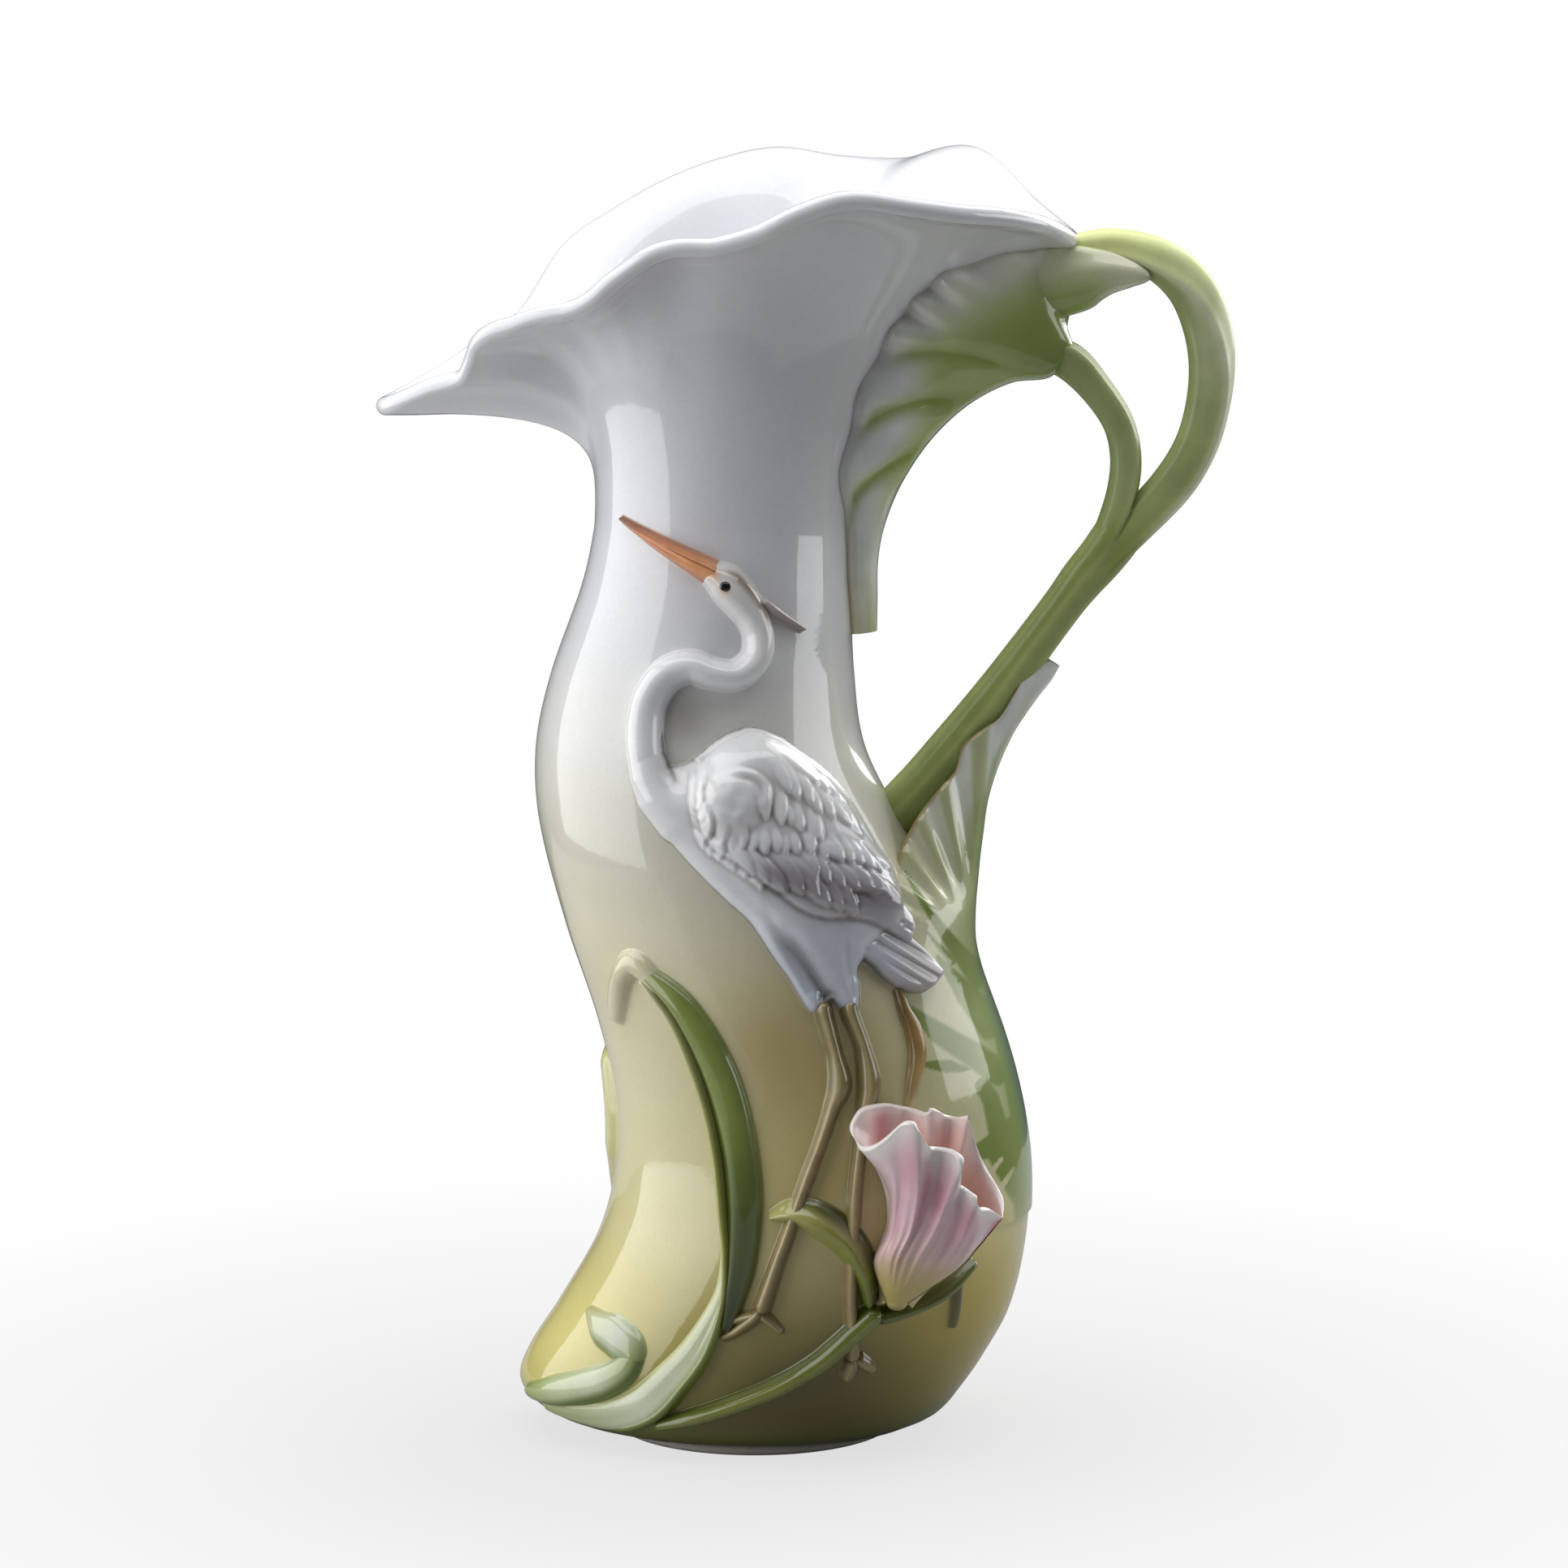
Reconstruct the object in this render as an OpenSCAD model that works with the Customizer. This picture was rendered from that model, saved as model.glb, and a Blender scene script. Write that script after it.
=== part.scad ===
// Porcelain ewer: a leaning cast body, a spreading lily mouth with a spout, a forked
// vine handle that grows out of two leaves, and a wading heron, reeds and a flower in
// relief. Each casting and sprig is a separate solid, luted to its seat before firing.
// Millimetres, +Z up. The origin is the centre of the foot ring on the table, the spout
// points to -X, the handle to +X, and the heron faces -Y.

/* [Body] */
// Height of the neck joint above the table
body_h = 257; // [240:1:275]
// Greatest width of the body, spout side to handle side
body_w = 142; // [130:1:155]
// Greatest depth of the body, front to back
body_d = 104; // [95:1:115]
// Thickness of the cast body wall
wall = 4; // [3:0.25:5]
// Thickness of the cast floor
floor_t = 6; // [4:0.5:9]

/* [Foot ring] */
// Outside diameter of the foot ring
foot_od = 78; // [66:1:80]
// Height of the foot ring
foot_h = 2.5; // [1.5:0.25:4]
// Width of the ground face that the ewer rests on
foot_face = 7; // [4:0.5:12]
// Rounding of the foot ring's lower edges
foot_round = 0.8; // [0.3:0.1:1.2]

/* [Mouth] */
// Reach of the lip over the handle, from the neck's axis
mouth_reach = 94; // [86:1:100]
// Rise of the highest ruffle above the neck joint, under the lip
mouth_rise = 90.5; // [82:0.5:98]
// Thickness of the mouth's wall and lip
lip_t = 4.25; // [3:0.25:5]

/* [Handle] */
// Reach of the outer branch's centre line beyond the lip
handle_reach = 39.5; // [34:0.5:46]
// Thickness of the outer branch, in the plane of the handle
outer_w = 12; // [10:0.5:13]
// Thickness of the inner branch, in the plane of the handle
inner_w = 9; // [7:0.5:10]
// Thickness of the stem below the fork, in the plane of the handle
stem_w = 11.5; // [10:0.5:13]
// Depth of the branches and the stem, front to back
vine_d = 12.5; // [10:0.5:15]
// Length of the upper leaf's curled tip
curl_len = 19; // [15:0.5:22]
// Thickness of the upper leaf's curled tip at its root
curl_w = 8; // [6:0.5:9]
// Depth of the lower leaf where it sheathes the stem
sheath_d = 13; // [10:0.5:16]

/* [Heron] */
// Breadth of the heron's body
heron_w = 45; // [38:1:48]
// Relief of the heron's body
heron_lift = 8; // [6:0.5:11]
// Breadth of the folded wing
wing_w = 32; // [26:1:35]
// Relief of the folded wing above the body
wing_lift = 4.5; // [3:0.5:6]
// Breadth of the tail
tail_w = 12; // [9:0.5:14]
// Thickness of the heron's neck
neck_w = 8.6; // [7:0.2:10]
// Relief of the heron's neck and head
neck_lift = 7.5; // [5:0.5:9]
// Breadth of the heron's head
head_w = 11; // [9:0.5:12]
// Breadth of the bill at its root
bill_w = 6.2; // [5:0.2:7]
// Breadth of the crest plume
crest_w = 3.2; // [2.4:0.2:4]
// Breadth of the thighs
thigh_w = 9; // [7:0.5:10]
// Thickness of the legs
leg_w = 3.8; // [3:0.2:4.6]
// Relief of the legs and toes
leg_lift = 3.2; // [2.4:0.2:4]

/* [Reeds] */
// Breadth of the tall reed leaves
reed_w = 11.4; // [9:0.2:13]
// Relief of the tall reed leaves
reed_lift = 4; // [3:0.5:6]
// Breadth of the reed's curled tip
reed_tip_w = 5.5; // [4:0.5:6.5]
// Breadth of the broad leaf at the base
base_leaf_w = 13; // [10:0.5:14]
// Relief of the leaves at the base
base_leaf_lift = 3; // [2:0.25:4]
// Breadth of the small leaf and the sprout on the toe
toe_leaf_w = 6.4; // [5:0.2:7]
// Breadth of the dry stalk beside the tail
stalk_w = 4.6; // [3.6:0.2:5.4]

/* [Flower] */
// Length of the flower from its base to its mouth
flower_len = 36; // [31:0.5:40]
// Reach of the ruffled petals from the flower's axis
flower_r = 20.5; // [17:0.5:22]
// Thickness of the petals
petal_t = 2; // [1.5:0.1:2.6]
// Thickness of the flower's stalk
stalk_t = 6.2; // [5:0.2:7]
// Breadth of the flower's curling leaf
flower_leaf_w = 8.6; // [7:0.2:10]
// Breadth of the side shoot and its twig
shoot_w = 4; // [3:0.2:5]

/* [Hidden] */

// Gap that a separate piece keeps from the surface it is luted to
seat_gap = 0.2;
// Gap that a leaf or wing with a broad curved back keeps from what it lies on
broad_gap = 0.4;
// Thickness of a standing leaf's edges, and its least height over the vessel
leaf_edge_t = 0.8;
leaf_lip = 4;
// Share of the half width beyond which a place in the front view lies on the body's edge
edge_share = 0.996;
// Share of a relief's height that stands at its edges
rim_share = 0.14;
// Counts of facets: round the body, round the mouth, round a vine, across a relief, a broad one and a leaf
body_sides = 44;
mouth_sides = 48;
vine_sides = 12;
relief_cells = 6;
broad_cells = 10;
leaf_cells = 12;

// The body from the foot ring to the neck joint: rise, left edge, right edge, depth
body_shares = [
    [0.000, -0.324, 0.324, 0.769], [0.010, -0.401, 0.366, 0.846], [0.037, -0.458, 0.408, 0.894],
    [0.069, -0.447, 0.447, 0.923], [0.124, -0.385, 0.499, 0.962], [0.205, -0.304, 0.530, 1.000],
    [0.285, -0.271, 0.533, 1.000], [0.363, -0.275, 0.511, 0.981], [0.442, -0.306, 0.469, 0.962],
    [0.548, -0.368, 0.391, 0.923], [0.658, -0.417, 0.282, 0.885], [0.737, -0.423, 0.213, 0.846],
    [0.815, -0.394, 0.192, 0.769], [0.914, -0.332, 0.185, 0.683], [0.972, -0.309, 0.183, 0.639],
    [1.000, -0.306, 0.183, 0.635]
];
// Levels at which the body's wall is ringed
body_level_shares = [
    0, 0.004, 0.010, 0.020, 0.037, 0.053, 0.069, 0.095, 0.124, 0.164, 0.205, 0.245, 0.285, 0.324, 0.363,
    0.402, 0.442, 0.495, 0.548, 0.603, 0.658, 0.697, 0.737, 0.776, 0.815, 0.865, 0.914, 0.940, 0.970, 1
];
// Reach and rise of the ruffled lip, every 15 degrees from the handle round by the back
lip_reach_shares = [
    1.000, 0.925, 0.844, 0.765, 0.682, 0.618, 0.578, 0.562, 0.569, 0.620, 0.660, 0.769,
    0.975, 0.785, 0.673, 0.600, 0.571, 0.566, 0.575, 0.611, 0.690, 0.775, 0.865, 0.946
];
lip_rise_shares = [
    0.773, 0.856, 0.994, 0.952, 0.957, 0.982, 0.950, 0.895, 0.818, 0.713, 0.519, 0.403,
    0.271, 0.405, 0.553, 0.599, 0.657, 0.779, 0.813, 0.851, 0.931, 0.917, 0.878, 0.829
];
// Steps of the flare from the neck joint to the lip
flare_shares = [0, 0.08, 0.16, 0.25, 0.34, 0.43, 0.52, 0.61, 0.70, 0.78, 0.86, 0.93, 1];
// The flare at the spout, which rises steeply before it turns outwards: its power, and how fast that fades
spout_flare_shares = [0.58, 4];

// Centre lines of the handle: reach, rise from the stem's seat to the lip, width, depth
outer_branch_shares = [
    [0.804, 0.985, 0.80, 0.85], [0.887, 0.963, 0.95, 0.95], [0.951, 0.916, 1.02, 1.00],
    [0.986, 0.848, 1.05, 1.00], [0.997, 0.773, 1.00, 1.00], [0.988, 0.698, 0.98, 1.00],
    [0.960, 0.622, 0.96, 1.00], [0.907, 0.550, 0.92, 0.98], [0.852, 0.478, 0.84, 0.95]
];
inner_branch_shares = [
    [0.706, 0.779, 1.15, 0.95], [0.762, 0.728, 1.00, 0.90], [0.806, 0.669, 0.95, 0.88],
    [0.822, 0.609, 0.95, 0.88], [0.817, 0.550, 0.92, 0.90], [0.795, 0.510, 0.86, 0.92]
];
stem_shares = [
    [0.826, 0.490, 1.60, 0.98], [0.776, 0.428, 1.30, 1.00], [0.736, 0.383, 1.10, 1.00],
    [0.696, 0.338, 1.00, 1.00], [0.617, 0.248, 0.96, 1.00], [0.538, 0.159, 0.96, 1.00],
    [0.461, 0.077, 0.98, 1.02], [0.400, 0.012, 1.02, 1.05], [0.335, -0.050, 1.05, 1.08]
];
// Height of the stem's seat on the body, and the rings of its curved seat
stem_seat_share = 0.693;
stem_seat_rings_shares = [1, 0.55, 0.1];
// The outer branch's root under the lip: drop, width, depth
branch_root_shares = [0.12, 0.72, 0.80];
// The upper leaf, from its lower tip to the lip: level on the vessel, angle, reach and rise of its edge
upper_leaf_shares = [
    [0.865, 15, 0.316, 0.292], [0.900, 19, 0.317, 0.350], [0.939, 20, 0.318, 0.419],
    [0.988, 19, 0.332, 0.485], [1.100, 24, 0.368, 0.563], [1.210, 22, 0.430, 0.643],
    [1.360, 17, 0.504, 0.703], [1.500, 15, 0.588, 0.741], [1.650, 13, 0.668, 0.752],
    [1.780, 11, 0.716, 0.800], [1.880, 9, 0.706, 0.846], [1.960, 7, 0.725, 0.905]
];
// The upper leaf's curled tip: rise and droop along its length, thickness at its point
curl_shares = [0.35, 0.45, 0.25];
// The lower leaf on the body, from its foot upwards: level, angle, reach beyond the body's side
lower_leaf_shares = [
    [0.283, 18, 0.006], [0.318, 37, 0.010], [0.360, 44, 0.012], [0.433, 48, 0.012], [0.477, 38, 0.014],
    [0.529, 33, 0.033], [0.581, 33, 0.075], [0.615, 29, 0.112]
];
// The lower leaf beside the stem: reach and rise on the stem's centre line and of the leaf's edge, depth
sheath_shares = [
    [0.355, -0.035, 0.534, -0.087, 2.4], [0.400, 0.012, 0.544, -0.020, 1.6],
    [0.461, 0.077, 0.566, 0.050, 1.2], [0.500, 0.118, 0.588, 0.092, 1.0],
    [0.560, 0.184, 0.630, 0.155, 0.9], [0.625, 0.257, 0.682, 0.226, 0.7]
];
// Fullness of a standing leaf's rounded edge
leaf_round_share = 0.7;

// Reliefs on the front: place across the body, height, width, lift
heron_body_shares = [
    [-0.200, 0.749, 0.26, 0.80], [-0.195, 0.738, 0.30, 0.85], [-0.158, 0.718, 0.52, 0.94],
    [-0.072, 0.699, 0.88, 1.00], [0.023, 0.660, 1.00, 1.00], [0.108, 0.611, 0.96, 1.00],
    [0.174, 0.564, 0.70, 0.85], [0.215, 0.540, 0.40, 0.62]
];
heron_wing_shares = [
    [-0.055, 0.748, 0.45, 0.70], [0.012, 0.705, 0.95, 1.00], [0.107, 0.652, 1.00, 1.00],
    [0.203, 0.600, 0.72, 0.85], [0.268, 0.563, 0.38, 0.60], [0.328, 0.542, 0.10, 0.35]
];
heron_tail_shares = [
    [0.223, 0.536, 1.25, 0.62], [0.248, 0.526, 1.08, 0.60], [0.298, 0.514, 0.90, 0.52],
    [0.345, 0.504, 0.70, 0.40]
];
heron_near_thigh_shares = [
    [0.108, 0.503, 0.84, 0.70], [0.118, 0.496, 0.76, 0.64], [0.129, 0.488, 0.55, 0.50]
];
heron_far_thigh_shares = [
    [0.171, 0.503, 0.66, 0.68], [0.174, 0.496, 0.62, 0.62], [0.178, 0.488, 0.50, 0.50]
];
heron_head_shares = [
    [-0.077, 0.941, 0.60, 0.80], [-0.060, 0.935, 0.98, 1.00], [-0.042, 0.926, 1.02, 1.00],
    [-0.026, 0.914, 0.86, 0.96]
];
heron_neck_shares = [
    [-0.025, 0.913, 1.08, 0.96], [-0.003, 0.893, 0.95, 1.00], [0.009, 0.872, 0.92, 1.00],
    [-0.002, 0.850, 0.92, 1.00], [-0.036, 0.837, 0.92, 1.00], [-0.080, 0.839, 0.95, 1.00],
    [-0.121, 0.846, 1.00, 1.00], [-0.165, 0.836, 1.05, 1.00], [-0.196, 0.811, 1.05, 1.00],
    [-0.205, 0.779, 1.12, 1.00], [-0.200, 0.752, 1.24, 0.90]
];
heron_bill_shares = [
    [-0.078, 0.942, 1.00, 0.80], [-0.135, 0.959, 0.72, 0.66], [-0.200, 0.978, 0.42, 0.42],
    [-0.250, 0.993, 0.14, 0.20]
];
heron_crest_shares = [[0.028, 0.907, 1.0, 0.50], [0.045, 0.896, 1.0, 0.52], [0.090, 0.873, 0.7, 0.36]];
near_leg_upper_shares = [
    [0.131, 0.485, 1.00, 1.0], [0.152, 0.442, 0.92, 1.0], [0.161, 0.411, 1.40, 1.1],
    [0.146, 0.386, 0.90, 1.0], [0.124, 0.348, 0.85, 1.0], [0.100, 0.311, 0.85, 1.0]
];
near_leg_lower_shares = [[0.064, 0.252, 0.85, 1.0], [0.045, 0.222, 0.85, 1.0], [0.015, 0.174, 1.0, 1.0]];
far_leg_upper_shares = [
    [0.180, 0.485, 1.00, 1.0], [0.204, 0.449, 0.92, 1.0], [0.216, 0.411, 1.40, 1.1],
    [0.206, 0.380, 0.90, 1.0], [0.197, 0.338, 0.85, 1.0], [0.189, 0.286, 0.85, 1.0]
];
far_leg_lower_shares = [[0.182, 0.198, 0.85, 0.9], [0.182, 0.186, 0.85, 0.9], [0.183, 0.172, 0.90, 0.9]];
near_foot_shares = [
    [-0.061, 0.139, 0.45, 0.5], [-0.022, 0.152, 0.80, 0.9], [0.012, 0.163, 1.10, 1.0],
    [0.050, 0.147, 0.50, 0.5]
];
far_foot_shares = [
    [0.166, 0.091, 0.50, 0.5], [0.184, 0.110, 0.95, 0.9], [0.203, 0.113, 0.95, 0.9],
    [0.228, 0.102, 0.50, 0.5]
];
reed_leaf_shares = [
    [-0.205, 0.520, 0.42, 0.6], [-0.140, 0.489, 0.78, 0.9], [-0.091, 0.445, 0.95, 1.0],
    [-0.056, 0.396, 1.00, 1.0], [-0.032, 0.338, 0.98, 1.0], [-0.023, 0.281, 0.98, 1.0],
    [-0.028, 0.226, 0.84, 0.9], [-0.040, 0.185, 0.60, 0.8], [-0.052, 0.152, 0.26, 0.5]
];
reed_tip_shares = [
    [-0.209, 0.522, 0.90, 0.7], [-0.231, 0.529, 1.00, 0.8], [-0.250, 0.512, 0.95, 0.8],
    [-0.260, 0.484, 0.85, 0.7], [-0.262, 0.460, 0.50, 0.5]
];
back_reed_shares = [
    [-0.270, 0.510, 0.30, 0.5], [-0.288, 0.450, 0.70, 0.8], [-0.282, 0.395, 0.95, 0.9],
    [-0.270, 0.340, 1.00, 0.9], [-0.262, 0.280, 1.00, 0.9], [-0.255, 0.215, 0.85, 0.8],
    [-0.270, 0.150, 0.45, 0.6]
];
base_leaf_shares = [
    [-0.094, 0.184, 0.28, 0.6], [-0.112, 0.146, 0.60, 0.9], [-0.146, 0.104, 0.92, 1.0],
    [-0.204, 0.068, 1.00, 1.0], [-0.282, 0.045, 0.80, 0.9], [-0.360, 0.037, 0.36, 0.6]
];
toe_leaf_shares = [
    [-0.437, 0.048, 0.30, 0.5], [-0.400, 0.062, 0.80, 0.8], [-0.330, 0.078, 1.00, 1.0],
    [-0.268, 0.096, 0.80, 0.9]
];
toe_sprout_shares = [
    [-0.258, 0.106, 0.75, 0.9], [-0.250, 0.124, 0.90, 1.0], [-0.282, 0.137, 0.75, 0.9],
    [-0.326, 0.140, 0.25, 0.5]
];
dry_stalk_shares = [
    [0.283, 0.484, 0.55, 0.6], [0.298, 0.466, 0.90, 0.9], [0.309, 0.436, 1.00, 1.0],
    [0.298, 0.402, 0.45, 0.5]
];
flower_stalk_shares = [
    [-0.130, 0.048, 0.60, 0.7], [-0.065, 0.060, 0.80, 0.9], [0.039, 0.085, 0.90, 1.0],
    [0.121, 0.113, 0.96, 1.0], [0.185, 0.145, 1.00, 1.0], [0.238, 0.172, 0.94, 1.0]
];
flower_leaf_shares = [
    [0.214, 0.198, 0.60, 0.9], [0.205, 0.217, 0.85, 1.0], [0.178, 0.245, 1.00, 1.0],
    [0.124, 0.268, 1.05, 1.0], [0.076, 0.277, 0.80, 0.9], [0.032, 0.269, 0.18, 0.5]
];
side_shoot_shares = [
    [0.272, 0.167, 1.0, 1.0], [0.330, 0.175, 1.0, 1.0], [0.371, 0.187, 0.95, 0.9],
    [0.414, 0.205, 0.70, 0.7]
];
side_twig_shares = [[0.387, 0.179, 0.80, 0.7], [0.384, 0.160, 0.70, 0.7], [0.379, 0.139, 0.60, 0.6]];

// The flower: its place on the front, its lean, the profile of its petals and their ruffles
flower_place_shares = [0.252, 0.176];
flower_lean_shares = [0.22, -0.32, 0.90];
flower_profile_shares = [[0, 0.19], [0.16, 0.27], [0.40, 0.40], [0.62, 0.54], [0.82, 0.78], [1, 1.00]];
// Depth of the flower, front to back, against its breadth, and the lift of its seat against its base
flower_depth_share = 0.75;
flower_seat_share = 0.56;
flower_ruffles = 5;
ruffle_share = 0.12;
mouth_tilt_share = 0.26;
// The swelling under the petals: place below them, breadth
flower_swell_shares = [[-1.0, 0.55], [-0.6, 0.95], [-0.3, 1.0], [-0.02, 0.98]];
// Relief of the flower's stalk and leaf against the stalk's thickness
stalk_lift_share = 0.8;
// Directions, in degrees round the flower, of its lower side and of the petals' ends
tilt_turn = 300;
front_turns = [172, 390];
back_turns = [33, 169];
// Angle between the facets of a petal
petal_step = 12;

function clamp(v, low, high) = max(low, min(high, v));
function mix(a, b, t) = a + (b - a) * t;
function unit(v) = v / norm(v);

// Smooth curve through rows whose first column is the key, each slope taken from the row's neighbours
function slope_of(rows, i) =
    let (low = max(i - 1, 0), high = min(i + 1, len(rows) - 1))
    (rows[high] - rows[low]) / (rows[high][0] - rows[low][0]);
function last_at_or_below(rows, key) =
    let (found = [for (i = [0:len(rows) - 2]) if (rows[i][0] <= key) i])
    len(found) == 0 ? 0 : found[len(found) - 1];
function row_at(rows, key) =
    let (
        i = last_at_or_below(rows, key),
        span = rows[i + 1][0] - rows[i][0],
        t = clamp((key - rows[i][0]) / span, 0, 1)
    )
    rows[i] * ((1 + 2 * t) * pow(1 - t, 2)) + slope_of(rows, i) * (span * t * pow(1 - t, 2))
    + rows[i + 1] * (t * t * (3 - 2 * t)) + slope_of(rows, i + 1) * (span * t * t * (t - 1));

// Smooth curve through four neighbouring values
function between(a, b, c, d, t) =
    (2 * b + (c - a) * t + (2 * a - 5 * b + 4 * c - d) * t * t + (3 * b - a - 3 * c + d) * t * t * t) / 2;
// A share at an angle, from shares spread evenly round a full turn
function round_share(shares, angle) =
    let (n = len(shares), q = angle / 360 * n, i = floor(q))
    between(shares[(i - 1 + 2 * n) % n], shares[(i + 2 * n) % n], shares[(i + 1 + 2 * n) % n],
            shares[(i + 2 + 2 * n) % n], q - i);
// A list of rows drawn out to steps per gap along a smooth curve
function drawn_out(rows, steps) =
    let (n = len(rows) - 1)
    concat(
        [for (i = [0:n - 1], k = [0:steps - 1])
            between(rows[max(i - 1, 0)], rows[i], rows[i + 1], rows[min(i + 2, n)], k / steps)],
        [rows[n]]
    );

// The body's outside: middle, half width and half depth at a height, then points on it
function body_section(z) =
    let (row = row_at(body_shares, (z - foot_h) / (body_h - foot_h)))
    [(row[1] + row[2]) / 2 * body_w, (row[2] - row[1]) / 2 * body_w, row[3] / 2 * body_d];
function body_point(angle, z, inset = 0) =
    let (s = body_section(z))
    [s[0] + (s[1] - inset) * cos(angle), (s[2] - inset) * sin(angle), z];
// The mouth's outside: a quarter of an ellipse from the neck joint to the lip, squarer at the spout
neck = body_section(body_h);
function lip_point(angle) =
    let (reach = round_share(lip_reach_shares, angle) * mouth_reach)
    [neck[0] + reach * cos(angle), reach * sin(angle),
     body_h + round_share(lip_rise_shares, angle) * mouth_rise];
function flare_power(angle) = mix(1, spout_flare_shares[0], pow(max(-cos(angle), 0), spout_flare_shares[1]));
function eased(share, power) = sign(share) * pow(abs(share), power);
function mouth_point(angle, t) =
    let (
        low = body_point(angle, body_h),
        gain = lip_point(angle) - low,
        power = flare_power(angle),
        out = 1 - eased(cos(t * 90), power),
        up = eased(sin(t * 90), power)
    )
    low + [gain[0] * out, gain[1] * out, gain[2] * up];
// The whole vessel: level 0 to 1 is the body, 1 to 2 the mouth
function vessel_point(angle, level) =
    level <= 1 ? body_point(angle, level * body_h) : mouth_point(angle, level - 1);
function vessel_normal(angle, level, turn = 1, rise = 0.004) =
    unit(cross(vessel_point(angle + turn, level) - vessel_point(angle - turn, level),
               vessel_point(angle, level + rise) - vessel_point(angle, level - rise)));
function mouth_inside(angle, t) = mouth_point(angle, t) - lip_t * vessel_normal(angle, 1 + t);

// The place on the body behind a place in the front view, or in the back view where side is 1
function seat_angle(x, z, side) =
    let (s = body_section(z))
    side * acos(clamp((x - s[0]) / s[1], -edge_share, edge_share));
// The angle and height of the body's surface at a point beside it
function angle_at(p) =
    let (s = body_section(p[2]))
    atan2(p[1] / s[2], (p[0] - s[0]) / s[1]);
function lifted(p, height) =
    let (angle = angle_at(p))
    body_point(angle, p[2]) + (height + seat_gap) * vessel_normal(angle, p[2] / body_h);

// The point itself, or the place beside it that far clear of the body where it lies inside or closer
function outside(p, gap = seat_gap) =
    let (s = body_section(p[2]))
    pow((p[0] - s[0]) / (s[1] + gap), 2) + pow(p[1] / (s[2] + gap), 2) < 1 ? lifted(p, gap - seat_gap) : p;

// Direction of a path at one of its points
function heading(path, i) = unit(path[min(i + 1, len(path) - 1)] - path[max(i - 1, 0)]);

// Solid between rings that run counter-clockwise as seen along the way; looped joins last to first
module loft(rings, looped = false) {
    n = len(rings[0]);
    m = len(rings);
    middle = [for (r = [rings[0], rings[m - 1]]) [for (p = r) 1] * r / n];
    sides = [for (i = [0:looped ? m - 1 : m - 2], j = [0:n - 1])
        let (a = i * n, b = (i + 1) % m * n, k = (j + 1) % n)
        each [[a + j, a + k, b + j], [a + k, b + k, b + j]]];
    ends = [for (j = [0:n - 1])
        let (k = (j + 1) % n, z = (m - 1) * n)
        each [[n * m, k, j], [n * m + 1, z + j, z + k]]];
    if (looped) polyhedron(points = [for (r = rings) each r], faces = sides, convexity = 10);
    else polyhedron(points = concat([for (r = rings) each r], middle),
                    faces = concat(sides, ends), convexity = 10);
}

// Solid between two grids of points, the outer one seen from outside with its rows running to the left
module slab(outer, inner) {
    m = len(outer);
    n = len(outer[0]);
    function o(i, j) = i * n + j;
    function u(i, j) = m * n + i * n + j;
    skins = [for (i = [0:m - 2], j = [0:n - 2]) each [
        [o(i, j), o(i, j + 1), o(i + 1, j)], [o(i, j + 1), o(i + 1, j + 1), o(i + 1, j)],
        [u(i, j), u(i + 1, j), u(i, j + 1)], [u(i, j + 1), u(i + 1, j), u(i + 1, j + 1)]]];
    ends = [for (j = [0:n - 2]) each [
        [o(0, j + 1), o(0, j), u(0, j)], [o(0, j + 1), u(0, j), u(0, j + 1)],
        [o(m - 1, j), o(m - 1, j + 1), u(m - 1, j + 1)], [o(m - 1, j), u(m - 1, j + 1), u(m - 1, j)]]];
    edges = [for (i = [0:m - 2]) each [
        [o(i, 0), o(i + 1, 0), u(i + 1, 0)], [o(i, 0), u(i + 1, 0), u(i, 0)],
        [o(i + 1, n - 1), o(i, n - 1), u(i, n - 1)], [o(i + 1, n - 1), u(i, n - 1), u(i + 1, n - 1)]]];
    polyhedron(points = concat([for (r = outer) each r], [for (r = inner) each r]),
               faces = concat(skins, ends, edges), convexity = 10);
}

// A sprig pressed on the body along a path of shares. Its back follows the body, base away from it.
// fullness over 1 flattens the top, and valley sinks the middle of a folded leaf.
module relief(rows, width, lift, base = 0, side = -1, steps = 3, cells = relief_cells,
              fullness = 1, valley = 0) {
    places = drawn_out(rows, steps);
    path = [for (p = places) body_point(seat_angle(p[0] * body_w, p[1] * body_h, side), p[1] * body_h)];
    across = [for (j = [0:cells]) -cos(180 * j / cells)];
    function beside(i, v) =
        let (n = vessel_normal(angle_at(path[i]), path[i][2] / body_h))
        path[i] + unit(cross(n, heading(path, i))) * (v * places[i][2] * width / 2);
    function height(i, v) =
        let (dome = min(1, fullness * sqrt(1 - v * v)), fold = 1 - valley * (1 - abs(v)))
        places[i][3] * lift * max(rim_share, dome * fold);
    slab([for (i = [0:len(path) - 1]) [for (v = across) lifted(beside(i, v), base + height(i, v))]],
         [for (i = [0:len(path) - 1]) [for (v = across) lifted(beside(i, v), base)]]);
}

// The handle's plane: a place from its shares of reach and of rise between the seat and the lip's bead
seat_z = stem_seat_share * body_h;
handle_span = mouth_reach + handle_reach;
anchor = lip_point(0) + [lip_t / 2, 0, lip_t / 2];
function handle_point(reach, rise) = [neck[0] + reach * handle_span, 0, mix(seat_z, anchor[2], rise)];
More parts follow.
